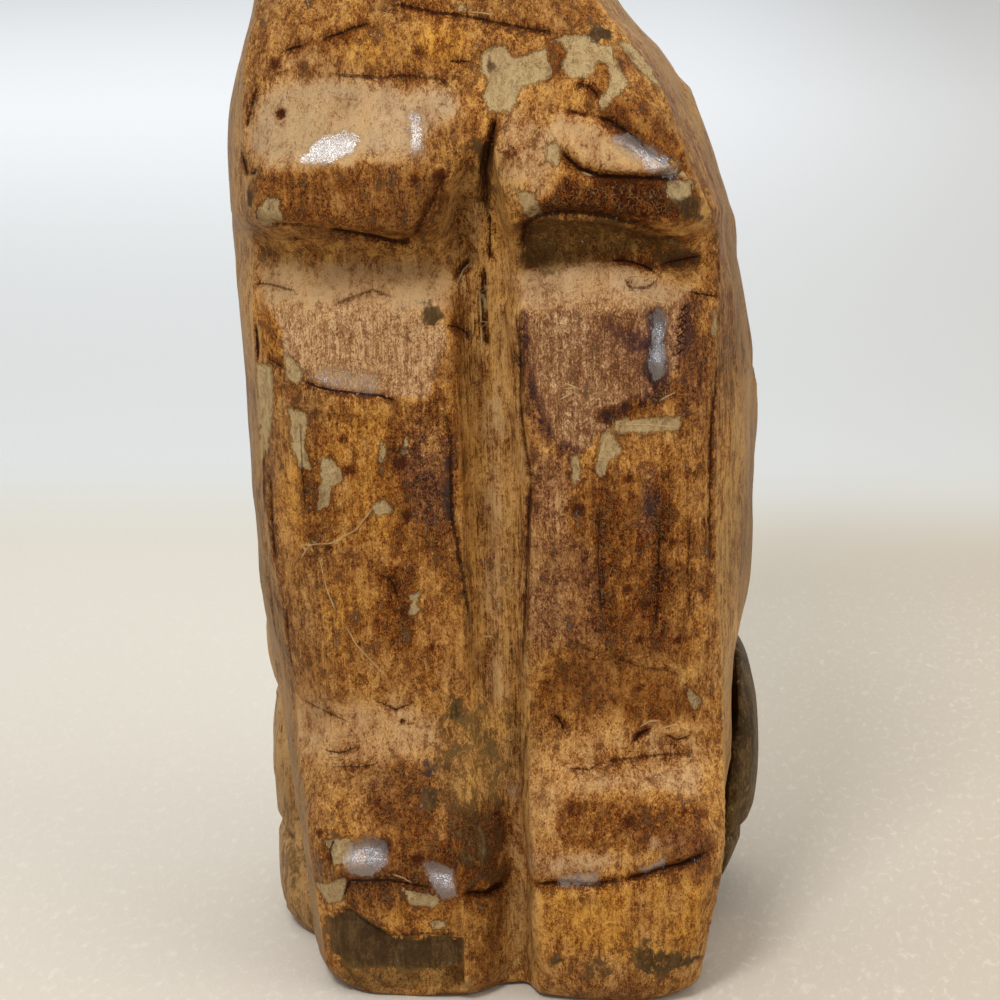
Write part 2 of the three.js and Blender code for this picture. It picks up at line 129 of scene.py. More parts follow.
def ripple(points, size, seed):
    """Smooth noise from -1 to 1 whose lumps are about a size across."""
    place = points / np.asarray(size, float)
    cell = np.floor(place).astype(np.int64)
    f = place - cell
    f = f * f * (3 - 2 * f)
    total = np.zeros(len(points))
    for corner in range(8):
        step = np.array([corner & 1, corner >> 1 & 1, corner >> 2 & 1])
        share = np.prod(np.where(step, f, 1 - f), axis=1)
        total += share * lattice(cell + step, seed)
    return 2 * total - 1


def line_distance(flat, line):
    """Each flat point's distance to an open line, how far along it, from 0 to 1, and its side, -1 or 1."""
    gap, along, side = np.full(len(flat), 1e9), np.zeros(len(flat)), np.ones(len(flat))
    low, high = np.min(line, axis=0) - 7, np.max(line, axis=0) + 7
    near = np.flatnonzero(((flat > low) & (flat < high)).all(axis=1))
    for i in range(len(line) - 1):
        start, way = np.array(line[i], float), np.subtract(line[i + 1], line[i])
        offset = flat[near] - start
        t = np.clip((offset @ way) / max(way @ way, 1e-9), 0, 1)
        away = np.hypot(*(offset - t[:, None] * way).T)
        nearer = away < gap[near]
        at = near[nearer]
        gap[at] = away[nearer]
        along[at] = (i + t[nearer]) / (len(line) - 1)
        side[at] = np.where(way[0] * offset[nearer, 1] > way[1] * offset[nearer, 0], 1, -1)
    return gap, along, side


def inside_distance(flat, outline):
    """Distance from each flat point to a closed outline, positive inside it."""
    gap = line_distance(flat, [*outline, outline[0]])[0]
    inside = np.zeros(len(flat), bool)
    x, z = flat.T
    for (x0, z0), (x1, z1) in zip(outline, [*outline[1:], outline[0]]):
        if z0 != z1:
            crosses = (z0 > z) != (z1 > z)
            inside ^= crosses & (x < (x1 - x0) * (z - z0) / (z1 - z0) + x0)
    return np.where(inside, gap, -gap)


class Clay:
    """A mesh's points, normals and neighbours as arrays in the carver's millimetres."""

    def __init__(self, mesh):
        self.mesh = mesh
        count = len(mesh.vertices)
        flat = np.empty(count * 3)
        mesh.vertices.foreach_get("co", flat)
        self.points = flat.reshape(-1, 3) / MM + ORIGIN
        edges = np.empty(len(mesh.edges) * 2, np.int64)
        mesh.edges.foreach_get("vertices", edges)
        self.edges = edges.reshape(-1, 2)
        self.valence = np.bincount(edges, minlength=count)[:, None]
        self.low, self.high = (np.array(corner) / MM + ORIGIN for corner in CAD_BOX)
        self.read_normals()

    def read_normals(self):
        """Take the directions that the surface faces from the mesh."""
        flat = np.empty(len(self.mesh.vertices) * 3)
        self.mesh.vertex_normals.foreach_get("vector", flat)
        self.normals = flat.reshape(-1, 3)

    def write(self):
        """Put the points back in the mesh and take its new normals."""
        self.points = np.clip(self.points, self.low, self.high)
        self.mesh.vertices.foreach_set("co", ((self.points - ORIGIN) * MM).ravel())
        self.mesh.update()
        self.read_normals()

    def average(self, values):
        """Mean of each point's neighbours."""
        a, b = self.edges.T
        count = len(self.valence)
        columns = []
        for column in np.atleast_2d(values.T):
            columns.append(np.bincount(a, column[b], count) + np.bincount(b, column[a], count))
        return np.squeeze(np.stack(columns, axis=1) / self.valence)

    def relax(self, steps, share=0.5):
        """Ease each point towards the middle of its neighbours."""
        for _ in range(steps):
            self.points += share * (self.average(self.points) - self.points)
        self.write()

    def push(self, depth):
        """Move each point in along its normal, or out as far as the CAD's box has room."""
        room = np.minimum(self.points - self.low, self.high - self.points).min(axis=1)
        depth = np.where(depth < 0, depth * np.clip(room / 1.5, 0, 1), depth)
        self.points -= self.normals * depth[:, None]
        self.write()

    def hollowness(self, steps):
        """Positive in hollows and negative on edges."""
        smooth = self.points.copy()
        for _ in range(steps):
            smooth += 0.5 * (self.average(smooth) - smooth)
        return ((smooth - self.points) * self.normals).sum(1)

    def paint(self, name, values):
        """Store one value for each point, which a material reads by its name."""
        layer = self.mesh.attributes.new(name, "FLOAT", "POINT")
        layer.data.foreach_set("value", np.ascontiguousarray(values, dtype=np.float32))

    def knife_facets(self, spacing, depth, share, seed, tilt=0.08):
        """Flatten the surface into the flat cuts that a broad knife leaves."""
        rng = np.random.default_rng(seed)
        smooth = self.normals.copy()
        for _ in range(6):
            smooth = self.average(smooth)
        smooth /= np.linalg.norm(smooth, axis=1, keepdims=True) + 1e-9
        seeds = []
        for i in rng.permutation(len(self.points))[:4000]:
            if all(np.linalg.norm(self.points[i] - self.points[j]) > spacing for j in seeds):
                seeds.append(i)
        at = self.points[seeds] - smooth[seeds] * depth
        facing = smooth[seeds] + rng.normal(0, tilt, (len(seeds), 3))
        facing /= np.linalg.norm(facing, axis=1, keepdims=True)
        lowest = np.full(len(self.points), 1e9)
        for place, normal in zip(at, facing):
            offset = place - self.points
            away, facing_share = np.linalg.norm(offset, axis=1), smooth @ normal
            near = (away < 2.6 * spacing) & (facing_share > 0.5)
            move = (offset[near] @ normal) / facing_share[near]
            fading = ease(1.4 * spacing, 2.6 * spacing, away[near]) + ease(0.8, 0.5, facing_share[near])
            move += 5 * depth * fading
            lowest[near] = np.minimum(lowest[near], move)
        lowest = np.clip(np.where(lowest > 1e8, 0, lowest), -2.2 * depth, 0.5 * depth)
        self.points += smooth * (lowest * share)[:, None]
        self.write()


# Meshes


def new_piece(name, mesh, material, slot, *nodes):
    """Put a finished mesh in the scene as a piece that stands for CAD nodes."""
    piece = bpy.data.objects.new(name, mesh)
    bpy.context.collection.objects.link(piece)
    mesh.materials.clear()
    mesh.materials.append(material)
    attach(piece, "root")
    if nodes:
        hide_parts(*nodes)
    return piece


def copy_of_nodes(nodes, stretch=None):
    """One merged mesh from copies of CAD nodes."""
    whole = bmesh.new()
    for node in nodes:
        part = bmesh.new()
        part.from_mesh(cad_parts[node].data)
        bmesh.ops.remove_doubles(part, verts=part.verts, dist=1e-6)
        if stretch:
            for vert in part.verts:
                stretch(node, vert)
        mesh = bpy.data.meshes.new("copy")
        part.to_mesh(mesh)
        part.free()
        whole.from_mesh(mesh)
        bpy.data.meshes.remove(mesh)
    mesh = bpy.data.meshes.new("copies")
    whole.to_mesh(mesh)
    whole.free()
    return mesh


def remeshed(mesh, voxel):
    """An even skin of small quads over a mesh."""
    holder = bpy.data.objects.new("holder", mesh)
    bpy.context.collection.objects.link(holder)
    modifier = holder.modifiers.new("remesh", "REMESH")
    modifier.mode = "VOXEL"
    modifier.voxel_size = voxel * MM
    modifier.use_smooth_shade = True
    graph = bpy.context.evaluated_depsgraph_get()
    skin = bpy.data.meshes.new_from_object(holder.evaluated_get(graph))
    bpy.data.objects.remove(holder)
    bpy.data.meshes.remove(mesh)
    return skin


def carved(mesh, voxel, relax=3):
    """A remeshed copy with its facets eased."""
    skin = remeshed(mesh, voxel * (1))
    clay = Clay(skin)
    clay.relax(relax)
    return skin, clay


def reach_to(clay, node, reach):
    """How far the points are from a CAD node, and how straight below them it lies."""
    mesh = copy_of_nodes([node])
    work = bmesh.new()
    work.from_mesh(mesh)
    tree = BVHTree.FromBMesh(work)
    work.free()
    bpy.data.meshes.remove(mesh)
    low, high = (np.array(v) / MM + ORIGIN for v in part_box(node))
    away, below = np.full(len(clay.points), float(reach)), np.zeros(len(clay.points))
    for i in np.flatnonzero(((clay.points > low - reach) & (clay.points < high + reach)).all(axis=1)):
        place = Vector((clay.points[i] - ORIGIN) * MM)
        nearest, _, _, gap = tree.find_nearest(place, reach * MM)
        if nearest is not None:
            away[i] = gap / MM
            below[i] = Vector(clay.normals[i]).dot(place - nearest) / max(gap, 1e-9)
    return away, below


def half_of(mesh, name, side):
    """The part of a mesh on one side of the seam, with its cut face closed and flat."""
    work = bmesh.new()
    work.from_mesh(mesh)
    cut = Vector(((SEAM_X - ORIGIN[0]) * MM, 0, 0))
    geometry = work.verts[:] + work.edges[:] + work.faces[:]
    done = bmesh.ops.bisect_plane(
        work, geom=geometry, dist=1e-6, plane_co=cut, plane_no=(-side, 0, 0), clear_outer=True
    )
    rim = [item for item in done["geom_cut"] if isinstance(item, bmesh.types.BMEdge)]
    filled = bmesh.ops.holes_fill(work, edges=rim, sides=0)
    for face in filled["faces"]:
        face.smooth = False
    for edge in rim:
        edge.smooth = False
    bmesh.ops.triangulate(work, faces=filled["faces"])
    half = bpy.data.meshes.new(name)
    work.to_mesh(half)
    work.free()
    return half


# Shader language


class Signal:
    """A shader socket that takes arithmetic."""

    def __init__(self, paint, socket):
        self.paint, self.socket = paint, socket

    def _with(self, operation, *others):
        return self.paint.node("ShaderNodeMath", {"operation": operation}, [self, *others])

    def __add__(self, other):
        return self._with("ADD", other)

    def __sub__(self, other):
        return self._with("SUBTRACT", other)

    def __rsub__(self, other):
        return self.paint.node("ShaderNodeMath", {"operation": "SUBTRACT"}, [other, self])

    def __mul__(self, other):
        return self._with("MULTIPLY", other)

    __radd__, __rmul__ = __add__, __mul__

    def power(self, exponent):
        return self._with("POWER", exponent)

    def size(self):
        return self._with("ABSOLUTE")

    def step(self, low, high):
        """0 below low, 1 above high, smooth between them."""
        inputs = {"Value": self, "From Min": low, "From Max": high}
        return self.paint.node("ShaderNodeMapRange", {"interpolation_type": "SMOOTHSTEP"}, inputs)


# Wet-looking lacquer where the window shines in it.
LACQUER = {"Roughness": 0.24, "Specular IOR Level": 1.0, "IOR": 1.8, "Specular Tint": (0.92, 0.97, 1.0, 1)}


class Paint:
    """One procedural material and the nodes that make it."""

    def __init__(self, name):
        self.material = bpy.data.materials.new(name)
        self.material.use_nodes = True
        self.tree = self.material.node_tree
        self.tree.nodes.clear()
        self.output = self.tree.nodes.new("ShaderNodeOutputMaterial")
        coordinates = self.node("ShaderNodeTexCoord", {}, {}, "Object")
        scaling = {0: coordinates, "Scale": 1 / MM}
        self.place = self.node("ShaderNodeVectorMath", {"operation": "SCALE"}, scaling)

    def node(self, kind, settings, inputs, output=0):
        """Add a shader node, fill its inputs, and give back one of its outputs."""
        made = self.tree.nodes.new(kind)
        for key, value in settings.items():
            setattr(made, key, value)
        pairs = inputs.items() if isinstance(inputs, dict) else enumerate(inputs)
        for key, value in pairs:
            if isinstance(value, Signal):
                self.tree.links.new(value.socket, made.inputs[key])
            elif value is not None:
                made.inputs[key].default_value = value
        return Signal(self, made.outputs[output])

    def attribute(self, name):
        """A value that the mesh carries at each point."""
        return self.node("ShaderNodeAttribute", {"attribute_name": name}, {}, "Fac")

    def noise(self, frequency, detail=4, roughness=0.6, distortion=0.0, seed=0):
        """Noise from 0 to 1. The frequency is lumps per millimetre, along X, Y and Z."""
        shift = (seed * 31.7, seed * 17.3, seed * 7.9)
        placing = {"Vector": self.place, "Location": shift, "Scale": frequency}
        moved = self.node("ShaderNodeMapping", {}, placing)
        inputs = {"Vector": moved, "Scale": 1, "Detail": detail, "Roughness": roughness}
        inputs["Distortion"] = distortion
        return self.node("ShaderNodeTexNoise", {}, inputs)

    def blend(self, first, second, share):
        """A colour that goes from the first to the second."""
        colours = [Signal(self, c.socket) if isinstance(c, Signal) else (*c[:3], 1) for c in (first, second)]
        inputs = {0: share, 6: colours[0], 7: colours[1]}
        return self.node("ShaderNodeMix", {"data_type": "RGBA", "clamp_factor": True}, inputs, 2)

    def bump(self, height, strength, distance):
        """A bump whose distance is in millimetres."""
        inputs = {"Strength": strength, "Distance": distance * MM, "Height": height}
        return self.node("ShaderNodeBump", {}, inputs)

    def finish(self, colour, roughness, height, strength, distance, constants, gloss=None):
        """Make the surface. Where gloss is 1, it is covered with glossy lacquer."""
        bump = self.bump(height, strength, distance)
        inputs = {"Base Color": colour, "Roughness": roughness, "Normal": bump, **constants}
        shader = self.node("ShaderNodeBsdfPrincipled", {}, inputs)
        if gloss:
            bump = self.bump(height, strength * 0.65, distance * 0.42)
            inputs = {"Base Color": colour, "Normal": bump, **LACQUER}
            lacquer = self.node("ShaderNodeBsdfPrincipled", {}, inputs)
            shader = self.node("ShaderNodeMixShader", {}, [gloss, shader, lacquer])
        self.tree.links.new(shader.socket, self.output.inputs["Surface"])
        return self.material


# Sizes and colours that a user would change


def size_property(name, description, default, lowest):
    """A length in millimetres."""
    return FloatProperty(name=name, description=description + ", in millimetres", default=default, min=lowest)


def colour_property(name, description, red, green, blue):
    """A colour, whose default is an sRGB one from 0 to 255."""
    default = srgb(red, green, blue)
    return FloatVectorProperty(name=name, description=description, subtype="COLOR", default=default)


class FigurineSettings(bpy.types.PropertyGroup):
    voxel: size_property("Skin size", "Size of the body skin's quads", 0.66, 0.5)
    head_voxel: size_property("Head skin size", "Size of the head skin's quads", 0.62, 0.4)
    facet: size_property("Knife cut", "Width of the knife's flat cuts", 13.0, 4)
    ochre: colour_property("Ochre", "Light stain", 211, 160, 92)
    gold: colour_property("Gold", "Amber stain", 212, 152, 64)
    chestnut: colour_property("Chestnut", "Red-brown wash", 128, 64, 10)
    # Ash is greyed wood on the flanks, and also painted sheen there.
    ash_and_sheen: colour_property("Ash", "Greyed wood of the flanks", 144, 108, 64)
    moss: colour_property("Moss", "Olive stain", 158, 122, 66)
    tan: colour_property("Tan", "Worn wood", 188, 160, 126)
    rose: colour_property("Rose", "Bare wood", 210, 172, 128)
    chip: colour_property("Chip", "Wood under flaked lacquer", 180, 154, 110)
    glass: colour_property("Glass", "Iris", 196, 132, 30)
    camera_lens: size_property("Lens", "Focal length of the camera", 90.0, 10)
    camera_distance: FloatProperty(
        name="Distance", description="From the camera to its target", default=0.417, unit="LENGTH"
    )


# Where the carving's features are: points are X and Z on the front, in the carver's millimetres.

# Zones of stain, some of which are painted shade or painted light: the values of its channels, the softness
# of the edge, and an outline.
PATCHES = [
    ({"pale": 0.95}, 2.0, [(-35.5, 158.5), (-30, 161), (-25.5, 160.5), (-17, 159.5), (-14, 158.5),
        (-7.5, 158.5), (-5.5, 157.5), (-4, 155), (-7.5, 153), (-10, 151), (-10.5, 148.5), (-17, 148),
        (-20.5, 148), (-25, 147.5), (-30, 147), (-36.5, 147), (-39, 149), (-39.5, 152), (-37.5, 156)]),
    ({"pale": 0.5}, 2.0, [(-30, 164.5), (-26.5, 165.5), (-26.5, 161), (-30, 161), (-34, 160),
        (-35.5, 161)]),
    ({"pale": 0.6}, 1.8, [(1.5, 155), (7, 154.5), (11.5, 150.5), (10.5, 143), (7.5, 140.5), (6, 143.5),
        (2, 145), (1.5, 150.5)]),
    ({"pale": 0.6}, 1.2, [(11.5, 154.5), (18, 153), (21.5, 150.5), (24, 148), (25.5, 145.5), (19.5, 145),
        (14.5, 146.5), (12, 149), (9, 152)]),
    ({"gold": 0.6}, 2.0, [(11.5, 159), (21, 157), (27, 154.5), (32, 149), (31, 146.5), (28, 147.5),
        (24, 150.5), (21, 152.5), (16.5, 154.5), (11.5, 155.5), (8.5, 157)]),
    ({"gold": 1.0, "speck": 0.38}, 2.0, [(-27, 165.5), (-17.5, 167.5), (-3, 167.5), (-1, 163), (-7.5, 161),
        (-17, 160.5), (-27, 161.5)]),
    ({"gold": 0.7}, 2.5, [(-37, 169), (-30.5, 171.5), (-17.5, 172), (-17.5, 169), (-30, 166), (-35, 165)]),
    ({"deep": 0.6}, 2.0, [(-16.5, 172), (17.5, 171.5), (17.5, 166.5), (8.5, 168), (-4.5, 170),
        (-16.5, 170.5)]),
    ({"deep": 0.75, "speck": 0.6}, 1.2, [(-36.5, 146), (-30, 146.5), (-20.5, 147.5), (-14, 147.5),
        (-7, 146), (-8.5, 141), (-11, 136.5), (-15, 134.5), (-23, 136), (-30.5, 137.5), (-36.5, 137.5),
        (-39.5, 139), (-38.5, 143)]),
    ({"deep": 0.9, "speck": 1.0}, 1.2, [(7.5, 140.5), (12.5, 144.5), (18, 144), (32, 143.5), (33.5, 140.5),
        (32.5, 137), (24, 137.5), (18, 139), (9, 139)]),
    ({"deep": 0.8}, 1.2, [(21, 137.5), (33.5, 137), (32.5, 132), (25.5, 132.5)]),
    ({"speck": 0.5, "deep": 0.5}, 2.0, [(-10, 154), (-2, 156), (-1, 152), (-4, 146.5), (-7.5, 146),
        (-10, 148.5)]),
    # Under the left shoulder's lip: olive stain, with painted shade in the dark band just under the overhang.
    ({"olive": 0.4}, 2.0, [(-37.5, 137), (-26.5, 135.5), (-15.5, 132.5), (-8.5, 136.5), (-5, 144),
        (-1.5, 142), (-3.5, 131.5), (-6, 123), (-9, 123.5), (-16.5, 125.5), (-24, 126), (-32.5, 124),
        (-38.5, 124.5), (-41, 128)]),
    ({"speck": 0.34}, 1.6, [(-38, 135.5), (-26.5, 134), (-15.5, 132), (-9, 134.5), (-5, 144), (-1.5, 142),
        (-3.5, 131.5), (-6, 123), (-9, 123.5), (-16.5, 125.5), (-24, 126), (-32.5, 124), (-38.5, 124.5),
        (-41, 128)]),
    ({"smoke": 0.2}, 1.5, [(-30.5, 137), (-24, 135.5), (-15.5, 132.5), (-10, 137), (-10.5, 132),
        (-17.5, 130), (-27, 132), (-31.5, 134)]),
    ({"pale": 0.45}, 1.6, [(-39.5, 129.5), (-27.5, 130), (-9, 129.5), (-6, 125), (-9, 123.5),
        (-16.5, 125.5), (-24, 126), (-32.5, 124), (-38.5, 124.5)]),
    # The hollow under the right shoulder: these dark olive, speck and smoke zones are painted shade in the
    # undercut, over the stain.
    ({"olive": 0.95}, 1.2, [(4.5, 133.5), (5.5, 136.5), (7.5, 138.5), (17.5, 138.5), (25.5, 135.5),
        (31.5, 132), (23.5, 131), (10.5, 129), (4, 128)]),
    ({"speck": 0.75}, 2.0, [(4.5, 133.5), (5.5, 136.5), (7.5, 138.5), (17.5, 138.5), (25.5, 135.5),
        (31.5, 132), (23.5, 131), (10.5, 129), (4, 128)]),
    ({"smoke": 0.3}, 2.5, [(5, 136.5), (11.5, 138.5), (21, 137.5), (23.5, 133.5), (17, 132), (10.5, 129.5),
        (4, 128.5)]),
    ({"smoke": 0.5}, 2.0, [(5, 135.5), (9, 137), (10, 132), (7.5, 128.5), (4, 128.5)]),
    ({"smoke": 0.6}, 2.0, [(26, 131.5), (33.5, 132), (33.5, 129), (31, 126.5), (27, 127.5), (25, 129.5)]),
    ({"pale": 0.6}, 1.8, [(3, 127.5), (10.5, 129.5), (20.5, 129.5), (25, 126.5), (17, 123.5), (7.5, 122),
        (3, 123.5)]),
    ({"deep": 0.8}, 1.0, [(17, 121), (20.5, 119.5), (24.5, 116.5), (25, 114), (22, 115.5), (18, 118)]),
    ({"purple": 0.9}, 0.8, [(17, 121), (20.5, 119.5), (24.5, 116.5), (25, 114), (22, 115.5), (18, 118)]),
    ({"purple": 0.9}, 0.8, [(24.5, 114), (28, 113), (29, 109.5), (26, 108), (23.5, 110.5)]),
    ({"smoke": 0.45}, 0.8, [(24.5, 113.5), (28, 112.5), (28, 110), (26, 108.5), (24, 110.5)]),
    ({"deep": 1.0, "purple": 0.7}, 0.9, [(30.5, 123.5), (33.5, 123), (34, 116.5), (33.5, 106.5),
        (31, 103.5), (30, 110.5), (30, 117)]),
    ({"purple": 0.9, "deep": 0.7}, 0.7, [(4, 125), (5.5, 123.5), (5.5, 115.5), (6.5, 107), (9.5, 100.5),
        (12.5, 98.5), (10, 97), (5.5, 101), (4, 110)]),
    ({"speck": 0.5}, 3.0, [(-41, 106), (-8, 107), (-9, 79), (-40.5, 77.5)]),
    ({"speck": 0.3}, 2.0, [(-41.5, 106), (-34.5, 107), (-34.5, 79), (-30.5, 55.5), (-42, 48.5),
        (-41.5, 88)]),
    ({"gold": 0.7}, 3.0, [(-35, 105.5), (-16.5, 105.5), (-19.5, 65), (-32, 57), (-35.5, 79)]),
    ({"speck": 0.8}, 4.0, [(-16, 107), (-9.5, 107), (-8, 98.5), (-8.5, 86.5), (-10.5, 77.5), (-15.5, 77.5),
        (-17, 90), (-19, 98.5)]),
    ({"deep": 0.55}, 3.0, [(-20, 93.5), (-7.5, 93), (-6, 63), (-15, 55.5), (-21, 65)]),
    ({"purple": 0.9}, 2.0, [(-14, 103.5), (-8, 100), (-8.5, 86.5), (-10.5, 83.5), (-15.5, 86.5),
        (-16.5, 95)]),
    ({"smoke": 0.7}, 1.0, [(-9.5, 97.5), (-8, 97.5), (-8, 85.5), (-9.5, 85.5)]),
    ({"smoke": 0.6}, 1.0, [(-8, 78.5), (-5.5, 78), (-6, 71.5), (-7.5, 72)]),
    ({"deep": 0.4}, 3.0, [(-27.5, 79.5), (-17, 79.5), (-7.5, 72), (-6.5, 55.5), (-28.5, 55.5)]),
    ({"speck": 0.45}, 3.0, [(-40.5, 77.5), (-5.5, 78.5), (-5.5, 55), (-41.5, 51)]),
    ({"speck": 0.7, "deep": 0.6}, 6.0, [(12.5, 93.5), (31.5, 95), (31.5, 63.5), (23, 60.5), (16.5, 62.5),
        (11, 65.5), (11, 79.5)]),
    ({"purple": 0.8}, 2.0, [(11, 83), (16.5, 81.5), (16.5, 65.5), (13, 63.5), (10, 65)]),
    ({"purple": 1.0}, 1.0, [(23.5, 95.5), (26, 95.5), (26, 84), (23.5, 84)]),
    ({"smoke": 0.5}, 1.0, [(23.5, 94), (25, 94), (25, 86.5), (23.5, 86.5)]),
    ({"speck": 0.56, "pale": 0.45, "purple": 0.7}, 1.5, [(5, 100), (11.5, 95), (10.5, 65.5), (7, 63.5),
        (4, 65), (4, 85.5)]),
    ({"gold": 0.5, "speck": 0.5}, 2.0, [(30.5, 102), (35.5, 101), (35.5, 71.5), (34, 57.5), (31.5, 63.5),
        (30.5, 79.5)]),
    ({"deep": 1.0, "speck": 0.5}, 2.0, [(7, 57.5), (13, 62), (23, 59.5), (31.5, 56), (34, 50), (23, 50.5),
        (16, 51.5), (6.5, 49)]),
    ({"pale": 0.35, "speck": 0.34}, 2.5, [(-1.5, 54.5), (5.5, 46), (16, 50.5), (33, 48), (35.5, 43),
        (33, 40.5), (19.5, 42.5), (9.5, 37.5), (4, 27), (-0.5, 24), (-1, 37.5)]),
    ({"olive": 0.6}, 2.0, [(-1.5, 53), (5.5, 47), (5, 43.5), (-1, 39.5)]),
    ({"pale": 0.6}, 1.5, [(16, 42.5), (33, 42), (33, 38), (16, 39.5)]),
    ({"deep": 0.6, "speck": 0.68}, 2.0, [(9.5, 37.5), (23, 38.5), (33, 37.5), (34, 29.5), (23, 30.5),
        (9.5, 29.5)]),
    ({"pale": 0.65}, 1.5, [(4, 29), (16, 30), (23, 28.5), (16, 25.5), (6, 24), (0.5, 22)]),
    ({"pale": 0.9}, 0.6, [(24.5, 32), (30, 33), (30.5, 30.5), (26.5, 30), (24, 30.5)]),
    ({"deep": 1.0, "purple": 0.5}, 1.2, [(29, 34.5), (33, 35), (35.5, 29), (33, 24), (28.5, 26),
        (27.5, 30)]),
    ({"speck": 0.46}, 2.5, [(-34.5, 157), (-25.5, 158.5), (-7.5, 157), (-7.5, 153), (-14, 149.5),
        (-25, 148.5), (-35.5, 148)]),
    ({"olive": 0.35}, 2.5, [(-34.5, 157), (-25.5, 158.5), (-17, 157.5), (-18.5, 149.5), (-25, 148.5),
        (-35.5, 148)]),
    ({"deep": 0.3}, 2.0, [(-7.5, 157), (-3, 156), (-3, 146.5), (-9, 146), (-9, 154)]),
    ({"speck": 0.7}, 2.0, [(13, 153.5), (24, 150.5), (25.5, 146.5), (14.5, 147)]),
    ({"gold": 0.8, "speck": 0.34}, 1.5, [(6, 22.5), (16, 23), (24.5, 24), (35.5, 25), (35, 13.5),
        (31.5, 9.5), (9, 9), (5.5, 12.5)]),
    ({"smoke": 0.7}, 1.4, [(21, 10), (23, 13), (24.5, 14), (27, 11.5), (34, 8.5), (31.5, 6.5), (26, 6),
        (23, 7)]),
    ({"smoke": 0.9}, 0.6, [(6.5, 9.5), (11, 10), (9.5, 8), (7, 8)]),
    ({"smoke": 0.5}, 1.0, [(13, 9.5), (16.5, 10), (18, 7), (14, 6)]),
    ({"olive": 0.4, "pale": 0.3}, 1.5, [(-1, 18.5), (5.5, 22), (5.5, 10.5), (3, 2.5), (-2.5, 3)]),
    ({"pale": 0.6}, 2.5, [(-40.5, 49), (-36.5, 53), (-29, 52.5), (-18.5, 54), (-13, 50), (-11.5, 46),
        (-15, 43.5), (-29, 42.5), (-35.5, 41), (-39.5, 43)]),
    ({"speck": 0.15}, 2.5, [(-40.5, 50), (-36.5, 54), (-29, 53.5), (-18.5, 54), (-13, 50), (-11.5, 46),
        (-15, 43), (-29, 42), (-35.5, 41), (-39.5, 43)]),
    ({"olive": 0.55}, 2.0, [(-10.5, 54), (-1.5, 50), (-1, 35), (-5, 25.5), (-8.5, 31), (-11.5, 37),
        (-13, 43.5), (-10, 46.5)]),
    ({"smoke": 0.3}, 3.0, [(-14, 54), (-1.5, 53), (-1, 42), (-1, 35), (-5, 25.5), (-8.5, 32.5),
        (-11.5, 38.5), (-15, 43.5)]),
    ({"smoke": 0.8}, 1.0, [(-10, 54.5), (-7.5, 54), (-7.5, 50), (-10, 50)]),
    ({"gold": 0.4, "speck": 0.48}, 2.0, [(-37, 40.5), (-20, 42.5), (-21.5, 37), (-25, 32.5), (-34.5, 30.5),
        (-37, 34.5)]),
    ({"deep": 0.9, "speck": 0.7}, 1.8, [(-20, 43), (-12.5, 42.5), (-11.5, 37), (-13, 31), (-18, 31),
        (-21.5, 33.5), (-23.5, 37)]),
    ({"purple": 1.0, "smoke": 0.6}, 0.8, [(-15.5, 43.5), (-12, 43.5), (-11.5, 41), (-14, 40.5)]),
    ({"smoke": 0.7}, 0.8, [(-14.5, 39), (-12, 39), (-12, 36), (-14, 36)]),
    ({"deep": 0.9, "speck": 0.7}, 2.0, [(-27, 27), (-18, 31), (-6.5, 32), (-5, 22), (-8, 20), (-11.5, 19.5),
        (-27, 19), (-28, 23.5)]),
    # Painted shade: the left paw's slope into the groove, which faces away from the window.
    ({"deep": 1.0}, 2.0, [(-9.5, 37), (-0.5, 33), (-1.5, 20.5), (-6.5, 22), (-9, 27.5)]),
    ({"speck": 1.0}, 2.0, [(-9.5, 37), (-1, 34.5), (-0.5, 20.5), (-6.5, 22), (-9.5, 27.5)]),
    ({"smoke": 0.5}, 2.0, [(-8, 32.5), (-0.5, 29.5), (-1.5, 20.5), (-6.5, 22), (-8.5, 25.5)]),
    ({"gold": 0.7, "speck": 0.38}, 1.0, [(-24.5, 17.5), (-13, 19.5), (-6.5, 19), (-7.5, 13.5), (-18.5, 13),
        (-22, 14.5)]),
    ({"deep": 0.7}, 1.0, [(-13, 20.5), (-6, 19.5), (-7, 13.5), (-12, 15.5)]),
    ({"smoke": 1.0}, 1.4, [(-32, 15), (-28, 17.5), (-24, 15.5), (-21, 12.5), (-7.5, 12.5), (-8, 7),
        (-19, 6), (-29, 6), (-31.5, 9.5)]),
    ({"olive": 0.9}, 1.2, [(-31, 6.5), (-8.5, 7), (-7.5, 3), (-19.5, 2), (-28.5, 2)]),
    ({"speck": 0.62, "gold": 0.5, "deep": 0.6}, 2.2, [(-6, 21), (0, 19.5), (-1, 7), (-3.5, 2), (-5.5, 2),
        (-7, 10), (-5.5, 15)]),
    ({"olive": 0.3}, 1.5, [(-7, 20.5), (0, 19), (-1.5, 5), (-7, 3.5), (-8, 12.5)]),
    ({"smoke": 0.12}, 1.5, [(-7, 20.5), (-1, 19), (-3, 7), (-7, 6)]),
    ({"gold": 0.8, "speck": 0.5}, 0.8, [(-40.5, 124), (-36, 123.5), (-36, 113.5), (-39.5, 113),
        (-40.5, 118)]),
    ({"smoke": 0.9}, 0.8, [(16, 168), (19.5, 167), (20, 165), (17, 165), (15.5, 166)]),
    ({"smoke": 0.6}, 1.2, [(28.5, 156.5), (30.5, 154.5), (32.5, 150), (34, 146), (32, 147), (30, 151.5)]),
    ({"smoke": 0.7}, 0.8, [(29, 141), (32, 141.5), (34, 140), (34, 136.5), (30.5, 137.5)]),
    ({"deep": 0.9}, 0.8, [(9, 164.5), (11.5, 165), (12.5, 163), (11.5, 161.5), (9.5, 162)]),
    ({"deep": 1.0}, 0.6, [(17, 162.5), (19, 162), (19, 159), (18, 158), (17, 160)]),
